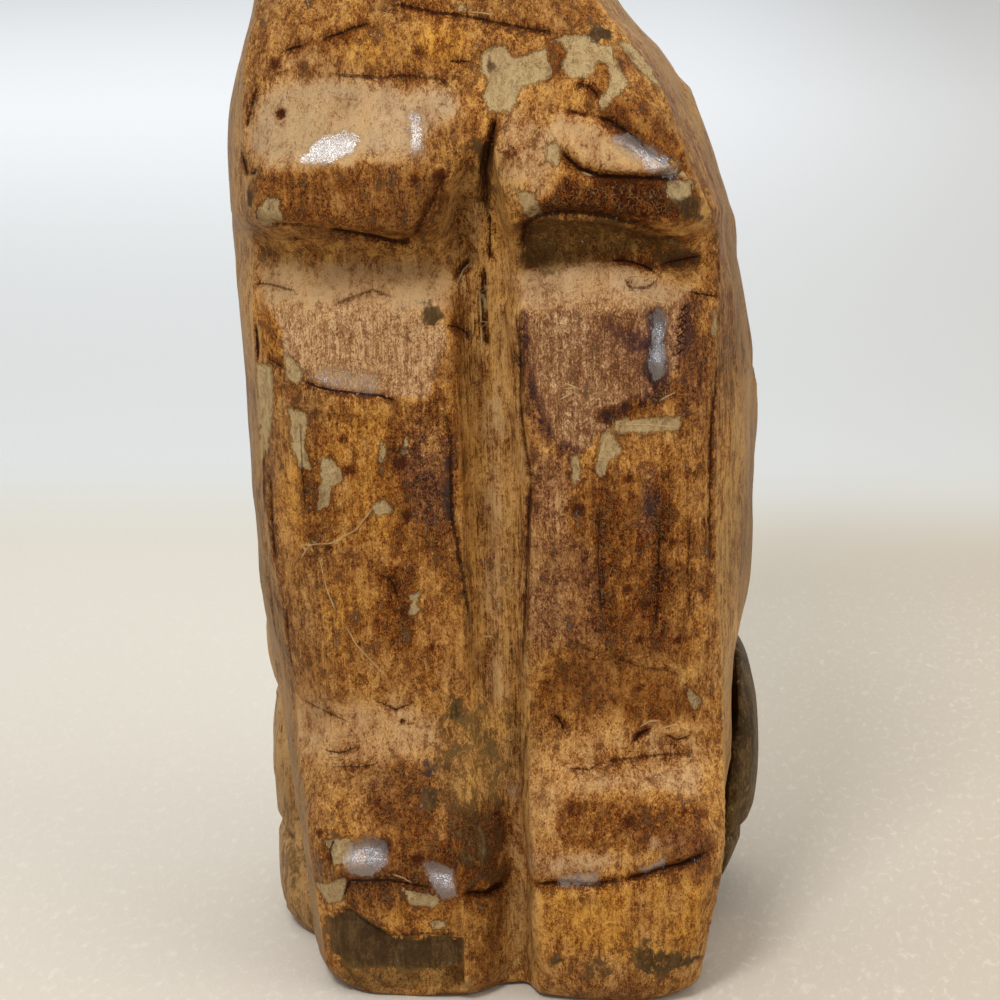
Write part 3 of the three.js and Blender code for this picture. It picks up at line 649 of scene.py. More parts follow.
    ({"deep": 1.0, "purple": 0.5}, 0.6, [(19.5, 164), (22.5, 163), (24.5, 160.5), (23, 160),
        (20.5, 161.5)]),
    ({"smoke": 0.6}, 0.5, [(-12.5, 123.5), (-11.5, 123.5), (-11, 122), (-12, 121)]),
    ({"smoke": 0.85}, 0.5, [(-12, 122), (-10, 122.5), (-9, 121), (-10.5, 119), (-12, 120)]),
    ({"smoke": 0.9}, 1.0, [(-41.5, 144), (-37.5, 145), (-39, 140), (-40.5, 140)]),
    # The groove: these zones darken its left wall and lighten its right wall, painted shade and painted light
    # as from the window on the left.
    ({"olive": 0.35}, 1.5, [(-6.5, 108.5), (-3, 107.5), (-3, 78), (-3, 52.5), (-6.5, 53.5), (-7, 79)]),
    ({"deep": 0.2, "speck": 0.14}, 1.5, [(-6.5, 108.5), (-3.5, 107.5), (-3.5, 78), (-3.5, 52.5),
        (-6.5, 53.5), (-7, 79)]),
    ({"pale": 0.35}, 1.2, [(-1, 122.5), (4, 123.5), (4, 103), (4.5, 79), (3.5, 53.5), (-1.5, 53),
        (-1, 88.5)]),
    ({"deep": 0.7, "speck": 0.5}, 1.2, [(-7.5, 123.5), (-5.5, 123), (-5.5, 106), (-7.5, 107)]),
    ({"speck": 0.8}, 1.2, [(-41, 92), (-39, 92.5), (-39.5, 78), (-39, 63), (-38.5, 51.5), (-42, 48.5),
        (-42.5, 68.5)]),
    ({"speck": 0.75}, 1.5, [(-32.5, 100.5), (-28, 100.5), (-28, 86.5), (-30, 72), (-32.5, 79.5)]),
    ({"speck": 0.75}, 1.5, [(-21, 79.5), (-15.5, 77.5), (-14.5, 65), (-18.5, 61.5), (-21.5, 68.5)]),
    ({"speck": 0.9}, 1.2, [(17, 95.5), (19.5, 95.5), (19.5, 72.5), (17.5, 63.5), (16, 72.5)]),
    ({"speck": 0.95}, 1.2, [(25, 95.5), (28, 95), (28, 65.5), (25, 65.5)]),
    ({"deep": 0.6}, 1.0, [(-32, 168), (-27, 166.5), (-17.5, 169), (-14, 168), (-25.5, 164), (-32, 163.5)]),
    ({"speck": 0.7}, 1.2, [(-32, 167), (-27, 165.5), (-23.5, 166), (-27, 164.5), (-31.5, 165)]),
    ({"speck": 0.75}, 1.0, [(11.5, 162.5), (14, 161), (12.5, 160), (10, 160.5)]),
    ({"olive": 0.8}, 1.0, [(-32, 4.5), (-19, 5.5), (-8.5, 7), (-7.5, 3), (-19.5, 2), (-28.5, 2)]),
    ({"speck": 0.18, "deep": 0.1}, 1.0, [(-39.5, 124), (-32.5, 124), (-25.5, 123.5), (-15.5, 124),
        (-10, 123.5), (-8, 118.5), (-8.5, 115.5), (-10, 112), (-11, 107.5), (-13.5, 107), (-19.5, 108),
        (-25.5, 109), (-33, 111), (-35.5, 113.5), (-36, 119)]),
    ({"speck": 0.24, "deep": 0.2}, 1.0, [(4, 124), (12, 125), (22, 124.5), (31.5, 124.5), (32.5, 120),
        (31.5, 115), (29.5, 111.5), (26, 108.5), (23.5, 107), (20, 104), (17, 101), (15, 98.5), (13, 98),
        (9, 100), (7, 103.5), (5.5, 107), (4.5, 115.5)]),
    ({"speck": 0.34}, 2.0, [(15.5, 122), (23.5, 122), (27, 114), (26, 109), (20, 107), (15.5, 110.5),
        (14.5, 117)]),
    ({"speck": 0.62}, 0.7, [(17.5, 121), (20.5, 120), (25, 117), (25, 115.5), (21.5, 116.5), (17.5, 119)]),
    ({"speck": 0.85, "deep": 1.0}, 0.8, [(29, 110.5), (26, 108.5), (22, 107), (16.5, 105), (16, 103),
        (22, 104), (27, 106), (29.5, 108)]),
    ({"speck": 1.0}, 0.7, [(24.5, 122.5), (27, 122.5), (27.5, 115.5), (28, 107.5), (25, 107), (25, 115.5)]),
    ({"purple": 1.0}, 0.7, [(23.5, 123.5), (28, 123.5), (29, 115.5), (28.5, 106.5), (23.5, 106.5),
        (23.5, 115.5)]),
    ({"speck": 0.75}, 0.9, [(29.5, 125.5), (33.5, 124), (34.5, 116.5), (34, 106.5), (32, 101.5),
        (29.5, 106.5), (30.5, 117)]),
    ({"speck": 0.75, "purple": 0.9}, 0.7, [(3, 123.5), (5, 122), (5.5, 113.5), (7, 105.5), (10, 100.5),
        (13.5, 98.5), (12, 96), (7.5, 99.5), (5, 104.5), (3, 113)]),
    ({"deep": 0.8}, 1.2, [(-39.5, 124), (-38, 118.5), (-37, 115.5)]),
    ({"speck": 0.08, "deep": 0.05}, 2.0, [(-35.5, 158.5), (-30, 161), (-25.5, 160.5), (-17, 159.5),
        (-14, 158.5), (-7.5, 158.5), (-5.5, 157.5), (-4, 155), (-7.5, 153), (-10, 151), (-10.5, 148.5),
        (-17, 148), (-20.5, 148), (-25, 147.5), (-30, 147), (-36.5, 147), (-39, 149), (-39.5, 152),
        (-37.5, 156)]),
    ({"speck": 0.3}, 1.8, [(1.5, 155), (7, 154.5), (11.5, 150.5), (10.5, 143), (7.5, 140.5), (6, 143.5),
        (2, 145), (1.5, 150.5)]),
    ({"speck": 0.12}, 1.2, [(11.5, 154.5), (18, 153), (21.5, 150.5), (24, 148), (25.5, 145.5), (19.5, 145),
        (14.5, 146.5), (12, 149), (9, 152)]),
    ({"pale": 0.85, "speck": 0.08}, 2.4, [(-40, 128.5), (-32.5, 129.5), (-15.5, 129), (-7.5, 126.5),
        (-7.5, 122.5), (-16, 122), (-25.5, 122.5), (-39.5, 122.5)]),
    ({"pale": 0.8, "speck": 0.08}, 2.4, [(3, 127), (10.5, 129.5), (20.5, 129), (31.5, 125), (30, 122.5),
        (17, 122.5), (4, 122.5)]),
    ({"deep": 0.6}, 3.0, [(10.5, 123.5), (31.5, 124), (31.5, 107), (17, 98.5), (5, 102), (4.5, 117)]),
    # More painted shade on the groove's left wall, and painted light on its right side.
    ({"deep": 0.6}, 1.6, [(-9, 107), (-5.5, 108), (-5, 78.5), (-5, 55), (-7.5, 55.5), (-8, 79)]),
    ({"pale": 0.5}, 1.0, [(-2.5, 106), (0, 106), (-1, 53), (-3.5, 52.5)]),
    ({"olive": 0.2}, 1.0, [(-4, 106), (0, 106), (-1, 53), (-4.5, 53)]),
    ({"gold": 0.9, "speck": 0.25}, 1.2, [(-0.5, 99), (3, 99.5), (2.5, 55), (-1, 54)]),
    ({"pale": 0.5}, 1.4, [(-4, 139.5), (-2, 139), (-2.5, 129.5), (-5, 129.5)]),
    ({"smoke": 0.5}, 1.5, [(-3, 150.5), (2, 150.5), (0, 137.5), (-2.5, 137.5)]),
    ({"deep": 0.9, "speck": 0.62}, 1.5, [(15.5, 158), (24, 156.5), (32, 149), (34, 142.5), (30.5, 145.5),
        (24, 150), (18, 152.5)]),
    ({"smoke": 0.5, "olive": 0.6}, 1.4, [(25.5, 163), (29.5, 157), (33, 151), (35, 143), (35.5, 133.5),
        (33.5, 136), (33, 144.5), (31, 152), (27.5, 158)]),
]

# Forms: how far one stands out, the softness of its edge, and its outline.
FORMS = [
    (-1.1, 2.6, [(-40, 133), (-27, 133), (-15.5, 130.5), (-8, 133.5), (-4.5, 140), (-2, 140), (-3, 128),
        (-9, 127), (-24, 127.5), (-32.5, 126.5), (-40, 126.5)]),
    (-1.8, 1.6, [(4.5, 134.5), (8, 137), (17.5, 136.5), (25.5, 133.5), (33.5, 129), (31.5, 127.5),
        (20.5, 129.5), (10.5, 129), (4, 127.5)]),
    (-0.9, 2.6, [(-6, 123), (-2, 123), (-3, 78), (-3, 52.5), (-6.5, 53.5), (-6.5, 79)]),
    (0.7, 2.0, [(0.5, 123), (4.5, 123.5), (3.5, 78.5), (3.5, 54), (-0.5, 53), (-0.5, 78)]),
    (0.6, 1.2, [(-40, 140), (-37, 137.5), (-30.5, 137.5), (-26, 137), (-20, 135.5), (-15.5, 133.5),
        (-12.5, 135.5), (-9.5, 141.5), (-7, 146), (-14, 148), (-36.5, 148), (-40, 144.5)]),
    (0.6, 0.9, [(11.5, 154.5), (18, 153), (21.5, 150.5), (24, 148), (28, 145.5), (24, 144.5), (18, 145),
        (14.5, 146.5), (12.5, 149), (9, 152)]),
    (0.8, 1.2, [(14, 158), (21, 157), (27, 154.5), (32, 149), (31.5, 146.5), (28, 147), (24, 150),
        (21, 152.5), (16.5, 154.5)]),
    (-0.7, 1.2, [(6.5, 55.5), (7.5, 59), (10, 61.5), (13, 63), (16.5, 62), (23, 59.5), (30, 57.5),
        (34, 53.5), (33, 49.5), (23, 49.5), (12.5, 48), (6, 47.5)]),
    (-0.9, 1.0, [(-32, 15), (-28, 17), (-24, 14.5), (-21, 12), (-7.5, 12.5), (-8, 3), (-19.5, 0.5),
        (-28.5, 2), (-31.5, 9.5)]),
    (-1.2, 3.5, [(-40.5, 49), (-29, 52.5), (-18.5, 54), (-10.5, 51), (-9, 46), (-15, 43.5), (-29, 42.5),
        (-40, 40)]),
    (-1.2, 3.5, [(5, 45.5), (16, 48), (33, 47), (36, 43.5), (33, 42), (16, 41.5), (6, 42)]),
    (0.8, 3.5, [(-34.5, 37.5), (-22, 39.5), (-9.5, 37), (-9, 27.5), (-18.5, 24), (-30.5, 23), (-34.5, 29)]),
    (0.7, 3.5, [(6.5, 37.5), (19.5, 39.5), (33, 37.5), (35, 30.5), (24.5, 28), (9.5, 25.5)]),
    (0.5, 2.5, [(6.5, 20.5), (19.5, 22), (34, 23), (33, 12), (23, 10.5), (7.5, 11)]),
    (-0.5, 0.9, [(17, 162.5), (19, 162), (19.5, 159), (18, 157.5), (17, 160)]),
    (0.5, 0.6, [(-33, 110), (-26, 108.5), (-18, 107), (-17, 104), (-33, 105.5)]),
]

# Outlines of flaked lacquer.
CHIPS = [
    [(-1.6, 163.1), (0.3, 164.6), (2.7, 164.9), (4.2, 163.1), (5.8, 163.3), (9.1, 164.8), (9.6, 162.4),
        (10.2, 160.5), (8.3, 159.4), (5.5, 158.8), (4.5, 157), (4.1, 154.9), (0.1, 154.9), (-0.6, 157.4),
        (0, 159.8), (-1.2, 161.6)],
    [(9.6, 165.1), (12.2, 166.3), (16.2, 166.2), (17.7, 164.9), (19.9, 164.5), (19.6, 163.4), (20.6, 161.5),
        (22.5, 158.8), (21.3, 157.7), (19.7, 156.5), (18.1, 155.3), (17.8, 156.8), (19.4, 158.6),
        (19, 161.9), (17.2, 162.6), (16.5, 160.2), (13.1, 159.8), (11.8, 161.1), (12.4, 163.9),
        (11.5, 165.4)],
    [(20.8, 165), (23.5, 164.8), (26.6, 161.3), (31.2, 154.3), (32.9, 150.7), (31.6, 151.5), (29, 155.7),
        (25.6, 159.1), (22.7, 162)],
    [(28.5, 143.8), (31.9, 143.4), (32.2, 141), (29.7, 140.3), (28.2, 141.7)],
    [(9.2, 149.4), (10.9, 150.3), (11.7, 148.3), (10.9, 146.6), (9.7, 147.6)],
    [(4.8, 142.8), (7.2, 142.2), (8.3, 138.9), (6.6, 137.5), (5.2, 140.2)],
    [(-36.7, 141.4), (-33.5, 142.1), (-33.4, 137.9), (-37.4, 136.7), (-37.9, 138.9)],
    [(-42.3, 112.2), (-38.1, 112.5), (-37.9, 106.8), (-39.5, 97.8), (-41.8, 93.4), (-42, 102.2)],
    [(-35.2, 105.7), (-31.7, 105.2), (-32.5, 100.3), (-32.3, 96.5), (-31.5, 95.2), (-33.7, 95.6),
        (-34.8, 98.5)],
    [(-30, 97.8), (-28.3, 96.9), (-26.4, 95.2), (-26.5, 93.1), (-28.2, 92.3), (-29.1, 88.9), (-30.8, 88),
        (-30.2, 93.4)],
    [(-35.6, 115.2), (-34, 114), (-32.6, 112), (-33, 109.9), (-35.3, 110.5)],
    [(12, 97.3), (13.3, 97.6), (13.6, 93.2), (12.1, 92.1)],
    [(16.5, 100.1), (18.2, 102.1), (20.5, 98.4), (18.5, 96.7), (17.1, 93.9), (16.1, 95.3)],
    [(19.4, 103.8), (30, 104.1), (30.3, 102.2), (23.5, 101.4), (18.9, 101.8)],
    [(-31.3, 30.1), (-26.5, 31.8), (-26.5, 27.4), (-29.8, 26.2)],
    [(-34, 20.9), (-27.9, 24), (-27.9, 19.9), (-31.4, 17.8)],
    [(-17.9, 22.5), (-11.5, 20.6), (-11.9, 18.5), (-16.7, 19.4)],
    [(-13.4, 15.7), (-10.6, 16.2), (-10.7, 14.3), (-12.7, 14.1)],
    [(31.3, 56.3), (33.1, 53.5), (32.2, 51.7), (30.9, 54.2)],
    [(35.5, 121.2), (36.8, 119.5), (36.5, 115.6), (35.1, 117.6)],
    [(-16.3, 73), (-13.9, 73.5), (-14.8, 71.4), (-14.3, 70.1), (-16.4, 69.2), (-15.6, 71.6)],
    [(-21.6, 89.3), (-19.5, 89.8), (-18.4, 87.9), (-20.7, 86.7)],
    [(-5.3, 171.1), (-4.2, 171.4), (-3.2, 170.4), (-4.5, 169.9)],
    [(-19.8, 100.4), (-19, 99.2), (-19.3, 96.3), (-19.9, 96.9)],
    [(-15.8, 100.7), (-15.1, 100.3), (-15.5, 97.6), (-16.2, 97.9)],
]

# Outlines of worn, bare wood.
BARE = [
    [(-39.3, 123.8), (-32.4, 123.9), (-25.7, 123.6), (-15.7, 123.8), (-9.9, 123.7), (-8.1, 118.7),
        (-8.4, 115.4), (-10.1, 111.8), (-11.2, 107.7), (-13.7, 107.1), (-19.5, 107.9), (-25.3, 109),
        (-32.8, 110.9), (-35.7, 113.5), (-36, 118.9)],
    [(4.1, 124.2), (12.2, 124.9), (22, 124.3), (31.7, 124.6), (32.3, 120.1), (31.4, 115.2), (29.7, 111.7),
        (26, 108.5), (23.5, 107.2), (19.9, 103.8), (16.9, 101.1), (15.2, 98.7), (12.8, 97.8), (8.9, 99.9),
        (6.9, 103.6), (5.7, 107), (4.5, 115.4)],
]

# Creases and cracks: half width, depth, how dark the stain and painted shade in it are, and the points of the
# line.
CUTS = [
    (0.8, 0.5, 0.9, [(-32.9, 164.5), (-31.4, 165.1), (-29.5, 165.4)]),
    (0.7, 0.4, 0.8, [(-26.9, 166), (-25.3, 166.8), (-23.7, 167.1), (-21.8, 168), (-17.9, 168.9)]),
    (1.0, 0.6, 0.7, [(-16.5, 171), (-14.1, 171.4), (-9.3, 170.2), (-4.5, 169.6), (0.3, 168.6), (5.1, 167.6),
        (9.1, 166.9), (11.8, 166.3)]),
    (1.2, 0.2, 0.6, [(-26.1, 161), (-22.1, 160.7), (-17.2, 160.3), (-14, 160.6), (-7.6, 159.9), (-5, 158)]),
    (0.7, 0.3, 0.8, [(-6.3, 162.6), (-2.8, 162.6)]),
    (1.1, 2.4, 0.8, [(1.4, 154.6), (0.7, 151.8), (-0.3, 148.5), (-1, 145), (-1.1, 140.9), (-1.1, 137.2)]),
    (0.5, 0.6, 0.9, [(-0.6, 140), (-1, 132.8), (-1.3, 129.4)]),
    (1.4, 0.8, 0.3, [(-37.1, 137.7), (-30.6, 137.3), (-25.7, 136.2)]),
    (1.6, 1.2, 0.7, [(-26.8, 136.4), (-23.7, 135.7), (-20, 134.6), (-15.4, 133), (-12.8, 133.7)]),
    (1.6, 1.0, 0.45, [(-13.4, 133.7), (-10.6, 138.3), (-8.8, 141.6), (-6.5, 145.8)]),
    (1.0, 0.5, 0.5, [(-27.3, 122.7), (-24, 124.1), (-20.4, 125.3), (-17.1, 124.1)]),
    (0.7, 0.3, 0.6, [(-41.5, 125.5), (-37.7, 125.9), (-32.9, 125.1)]),
    (0.6, 0.4, 1.0, [(-33.2, 110.8), (-29.5, 109.3), (-25.3, 108.6), (-19.5, 107.9), (-16.6, 106.8)]),
    (0.8, 0.7, 1.0, [(-40.9, 119), (-40.8, 115.6), (-40.8, 112.7)]),
    (0.6, 0.4, 0.7, [(-38.9, 113.8), (-35.4, 112.2)]),
    (0.6, 0.3, 0.8, [(-8.4, 119.4), (-6.9, 118.9), (-5.5, 117.4), (-5.1, 115.8)]),
    (0.9, 2.4, 0.8, [(-2.3, 128.7), (-2.8, 122.9), (-2.6, 117.8), (-2.2, 114.1)]),
    (0.8, 1.0, 0.9, [(-6.3, 126.1), (-6, 127.7), (-4.8, 129.3)]),
    (1.8, 1.2, 0.65, [(4.1, 128.6), (4.4, 133.5), (5.3, 136.3), (7.5, 138.4), (11.4, 139.1), (17.7, 138.6),
        (24, 136.7), (31.7, 132.1)]),
    (1.6, 1.6, 1.0, [(11.5, 149.1), (12.8, 147.6), (14.7, 146), (17.9, 144.9), (24.1, 144.5), (28.8, 144.3),
        (31.6, 145.2)]),
    (1.2, 0.8, 0.9, [(16.3, 154.7), (19.7, 153.2), (22.6, 151.2), (25.7, 148.1), (28, 146.7),
        (31.3, 146.7)]),
    (0.6, 0.4, 0.9, [(18.4, 129.7), (21.2, 129.7), (24.4, 128.8), (26.5, 127.5)]),
    (0.9, 0.5, 0.9, [(26.9, 128.9), (30.1, 129.5), (33.6, 130.1)]),
    (0.8, 0.4, 0.6, [(21, 127.1), (22, 125.5), (24.9, 125.5), (26.5, 126.7)]),
    (0.7, 0.4, 0.7, [(35.3, 142.7), (36.3, 136.6), (36.3, 127.4), (36.5, 122.6), (35.9, 109.4), (35, 101),
        (34.7, 85.5), (35, 71.5)]),
    (0.4, 0.5, 0.9, [(31.7, 124.6), (36.4, 123)]),
    (0.9, 0.6, 0.6, [(4, 127.5), (3.9, 117), (3.5, 106.4), (4.1, 99.8), (5.2, 93.3), (4.4, 86), (3.8, 75.2),
        (3.2, 64.5), (2.9, 59.7)]),
    (1.2, 0.6, 0.15, [(5.9, 46.9), (6, 53), (6.8, 58.6), (9.5, 62.3), (12.6, 63.9), (16.3, 62.7),
        (23, 60.3), (29.8, 58.7), (33.8, 55.2)]),
    (0.7, 0.7, 1.0, [(8.2, 51.1), (9.2, 49.6), (9.7, 48.2)]),
    (1.2, 0.3, 0.6, [(16.1, 43.2), (22.9, 44.1), (31.8, 44.2)]),
    (1.5, 1.3, 0.75, [(3.9, 22.3), (9.3, 23.4), (15.5, 23.3), (19.6, 24.4)]),
    (1.6, 1.3, 1.0, [(19.6, 24.4), (23.9, 25.5), (27.1, 26.6), (29.8, 27.2), (35.5, 29.2)]),
    (1.8, 1.6, 1.0, [(-7.5, 20.8), (-5.7, 20.4), (-4, 19.4), (-0.5, 20.3)]),
    (1.4, 0.6, 0.5, [(-31.1, 16.7), (-27.3, 17.6), (-24.2, 15.2), (-20.8, 13), (-11.7, 13.3), (-7, 13.3)]),
    (1.4, 0.3, 0.7, [(-9, 107), (-8.2, 98.4), (-8.3, 86.3), (-7.3, 79.2), (-6.4, 71.9), (-5.8, 64.6)]),
    (1.0, 0.9, 1.0, [(21.7, 46.7), (22.9, 48.1), (25, 49.2)]),
    (0.8, 0.6, 0.7, [(27, 48.1), (29, 46.7), (31.4, 47.5)]),
    (0.8, 0.3, 0.7, [(-21.6, 76.8), (-19.4, 75.9), (-18.6, 75), (-18, 71.9)]),
    (0.8, 0.5, 0.8, [(-29.6, 30.8), (-30.5, 28.6), (-30, 26.2)]),
    (1.0, 0.5, 0.8, [(-29, 18.7), (-27, 23.7), (-20, 24), (-11.4, 22.1)]),
    (0.6, 0.4, 0.7, [(-37.2, 160.1), (-38.6, 155.4), (-39.7, 152.2)]),
    (0.9, 0.8, 0.9, [(-40.9, 148.8), (-39.7, 144.9), (-36.5, 146.2)]),
    (0.5, 0.4, 0.7, [(-23.1, 53.9), (-19.2, 51.7), (-15.7, 53.3)]),
    (0.5, 0.3, 0.6, [(-36.5, 52.2), (-32.5, 51.5), (-27.1, 49.1)]),
    (0.6, 0.4, 0.7, [(-32.2, 44.2), (-28.9, 44), (-26.1, 45.1)]),
    (0.5, 0.3, 0.6, [(-30.7, 41.9), (-24.5, 42.2), (-22.2, 42.9)]),
    (0.5, 0.3, 0.6, [(10.1, 42.2), (14.4, 42.1), (16.1, 43.2)]),
    (0.5, 0.3, 0.7, [(15.9, 159), (13.9, 158.1)]),
    (0.8, 0.4, 0.9, [(13.9, 159), (16.2, 158.7), (17.8, 156.8)]),
    (0.8, 0.4, 0.7, [(12.3, 155.1), (16.3, 154.1)]),
    (0.3, 0.2, 0.9, [(29.8, 121.6), (30.6, 122), (31.7, 122.9)]),
    (0.3, 0.2, 0.9, [(29.6, 120.2), (30.4, 120.6), (31.5, 121.5)]),
    (0.3, 0.2, 0.9, [(29.5, 118.7), (30.3, 119.2), (31.4, 120)]),
    (0.3, 0.2, 0.9, [(29.3, 117.2), (30.1, 117.7), (31.2, 118.6)]),
    (0.3, 0.2, 0.9, [(29.1, 115.8), (29.9, 116.2), (31, 117.1)]),
    (0.3, 0.2, 0.9, [(28.9, 114.3), (29.8, 114.7), (30.9, 115.6)]),
    (0.6, 0.5, 0.5, [(-40.5, 101), (-41, 88.5), (-41.3, 77.1), (-41.1, 65.7), (-41, 53)]),
    (0.4, 0.3, 0.6, [(-39.3, 94.3), (-39.5, 85.3), (-39.4, 76.9)]),
    (0.4, 0.3, 0.5, [(-37.8, 71), (-38, 63.4), (-37.8, 57.1)]),
    (0.4, 0.3, 0.6, [(-33.2, 103.8), (-33.2, 95.1), (-33, 86.4)]),
    (0.4, 0.3, 0.5, [(31.6, 86.2), (31.2, 77.6), (31.5, 68.7)]),
    (0.4, 0.3, 0.6, [(16.7, 90.1), (16.2, 79.6), (16.7, 69)]),
    (0.4, 0.3, 0.5, [(26.6, 86.6), (26.2, 76.2), (25.8, 67.3)]),
]

# Holes: X, Z, radius and depth.
HOLES = [
    (-33.3, 154.9, 1.0, 0.9), (-33.3, 153.5, 0.8, 0.5), (-32.6, 134, 0.5, 0.7), (-18.1, 49.6, 0.7, 0.8),
    (-16.7, 49.2, 0.5, 0.5), (-36.8, 44.2, 0.5, 0.8), (-26.4, 44.9, 0.6, 0.4), (-29.3, 122.7, 0.4, 0.4),
    (8, 53.6, 0.4, 0.4), (34.3, 5.4, 0.4, 0.4), (-13.6, 133.3, 0.8, 0.4), (-13.2, 160, 0.8, 0.3),
    (-15.5, 162.7, 0.9, 0.3),
]

# Dark spots: X, Z, radius and darkness.
DOTS = [
    (-34.1, 162.5, 1.1, 0.8), (-16.6, 120.9, 0.6, 0.6), (-21.2, 114.8, 0.9, 0.35), (-17.4, 114.6, 0.5, 0.7),
    (-29.4, 81.5, 0.7, 1.0), (-25.4, 95.2, 1.0, 0.9), (-26, 100.4, 0.8, 0.8), (-16.6, 96.2, 1.1, 1.0),
    (-17.8, 98.7, 0.8, 0.9), (-15.7, 98.6, 0.7, 0.9), (-15.8, 87.2, 1.0, 1.0), (-25.3, 81.9, 0.4, 0.7),
    (-11.2, 164.2, 0.9, 0.8), (-11.5, 167.2, 0.7, 0.6), (0.5, 161.9, 0.9, 0.9), (-7.6, 145.3, 1.2, 0.9),
    (3.6, 149.1, 1.4, 0.7), (-11.6, 144.9, 0.9, 0.7), (23.6, 125.5, 0.6, 0.5), (19.6, 125.2, 0.5, 0.6),
    (11.8, 94.3, 0.6, 0.6), (11, 88.3, 0.6, 0.9), (21.2, 74.4, 0.9, 0.9), (28.7, 82.6, 0.8, 0.8),
    (24, 71.7, 0.8, 0.8), (29.5, 65.4, 0.7, 0.8), (23.1, 65.5, 0.8, 0.8), (33.2, 73.7, 0.7, 0.7),
    (34.2, 85.3, 0.6, 0.7), (13, 88.3, 1.1, 0.9), (21.4, 93.6, 0.9, 0.9), (21.3, 34.7, 1.2, 0.7),
    (11.9, 36.3, 1.4, 0.5), (30.6, 36.2, 0.6, 0.8), (23, 56.2, 0.9, 0.5), (-18.7, 76.2, 0.7, 0.8),
    (-17.2, 70.2, 1.2, 0.7), (-24.7, 64.2, 0.5, 0.8), (-12.4, 63.6, 1.0, 0.6), (-10.1, 41.9, 1.0, 0.3),
    (-32.4, 31.2, 0.8, 0.8), (-15.1, 27.9, 1.0, 0.9), (-35.3, 20.5, 0.9, 0.5), (-20.8, 30.1, 1.3, 0.9),
]

# Glossy spots that face the window, with a painted grey reflection in their colour: how far they turn to it,
# and an outline.
GLOSS_AND_REFLECTION_SPOTS = [
    (0.95, [(-30, 148), (-27.1, 151), (-22.8, 152.2), (-20.3, 151.2), (-21.6, 149.1), (-25.1, 147.7),
        (-28.1, 147.2)]),
    (0.7, [(-12.7, 154.9), (-10.8, 155.1), (-10.3, 149.3), (-12, 149)]),
    (1.0, [(-28, 26.2), (-26.9, 29.9), (-24.1, 31.5), (-20.6, 30.6), (-20.3, 27.2), (-23.1, 24.6),
        (-26.6, 24.9)]),
    (1.0, [(-14.1, 27.2), (-11.3, 26.4), (-9.1, 25.3), (-8.7, 20.9), (-10.8, 20.2), (-12.8, 22.9)]),
    (1.0, [(25.3, 120.8), (26.5, 122), (27.8, 120.1), (27.2, 116.1), (28, 111.8), (26.3, 110.5),
        (25.2, 113.5), (26, 117.2)]),
    (1.0, [(8.6, 24.3), (11.9, 25.2), (15.7, 25.5), (15.7, 23.5), (9.3, 23.2)]),
    (0.9, [(22.7, 26.5), (27.1, 28.6), (27.1, 27.3), (23.9, 25.9)]),
    (0.9, [(19.7, 150.5), (22.6, 151.3), (30.3, 146.2), (29.7, 144.3), (25.7, 145.2)]),
    (0.5, [(-0.2, 37.9), (1.4, 37.1), (1.1, 34.7), (-0.2, 35.7)]),
    (0.5, [(-31.1, 110.3), (-24.5, 108.6), (-19.5, 108.1), (-19.4, 111.3), (-25.2, 112), (-29.3, 113)]),
]

# Pale scratches, and short pale strokes along the right shoulder's lip that are painted highlights.
SCRATCHES_AND_GLINTS = [
    [(-31.2, 80), (-30.1, 74), (-28.6, 69.7)],
    [(-27.3, 67.8), (-25.4, 64), (-22.3, 60.6), (-20, 57.8)],
    [(-20.9, 89.3), (-24.5, 84.7), (-26.9, 83.3), (-28.4, 81.9)],
    [(-34.3, 81.8), (-29, 82.2), (-26.4, 83.7)],
    [(-6.6, 125.9), (-5.8, 127.7), (-4.5, 128.9)],
    [(-3.1, 124.6), (-3.1, 119.5), (-3.1, 114.3)],
    [(-1.9, 126.3), (-1.8, 121.3), (-2.3, 117.9)],
    [(28.8, 126), (31.7, 124.8)],
    [(20.2, 102.8), (25.1, 102.9), (29.2, 102.5)],
    [(22.9, 49.4), (24.6, 50.3), (26.3, 50.4)],
    [(26.7, 49.1), (29, 49.7), (31.4, 48.5)],
    [(-19.6, 25.1), (-17.6, 24.4), (-16.2, 23.3)],
    [(-3.2, 170.1), (-1.3, 170), (0.9, 169.6)],
    [(14.7, 145.5), (16.6, 144.9)],
    [(-4.5, 63.9), (-2.2, 63.9)],
    # These short strokes are painted highlights: the glints along the right shoulder's lip.
    [(20.4, 149.7), (21.5, 148.5)],
    [(21.2, 149.4), (22.3, 148.2)],
    [(22.1, 149.1), (23.2, 147.7)],
    [(22.9, 148.8), (24, 147.4)],
    [(23.8, 148.4), (24.9, 147.1)],
    [(24.6, 148), (25.7, 146.7)],
    [(25.4, 147.6), (26.5, 146.2)],
    [(26.3, 147.3), (27.4, 145.8)],
    [(27.1, 146.9), (28.2, 145.5)],
    [(28, 146.5), (29.1, 144.9)],
    [(28.8, 146.2), (29.9, 144.5)],
    [(29.6, 145.8), (30.7, 144.1)],
    [(30.5, 145.3), (31.6, 143.6)],
    [(26.8, 107.1), (29.4, 108.4)],
    [(23.6, 124.3), (25.3, 123.6), (28.2, 123)],
    [(10.3, 107.1), (12.8, 108.5)],
    [(7.1, 111.8), (8.4, 110.4)],
    [(11.4, 109.8), (13.7, 108.8)],
    [(-34.5, 79.1), (-32.1, 82.8)],
    [(-27.7, 112.3), (-24, 111.7)],
    [(-20.6, 114), (-19.4, 112)],
]


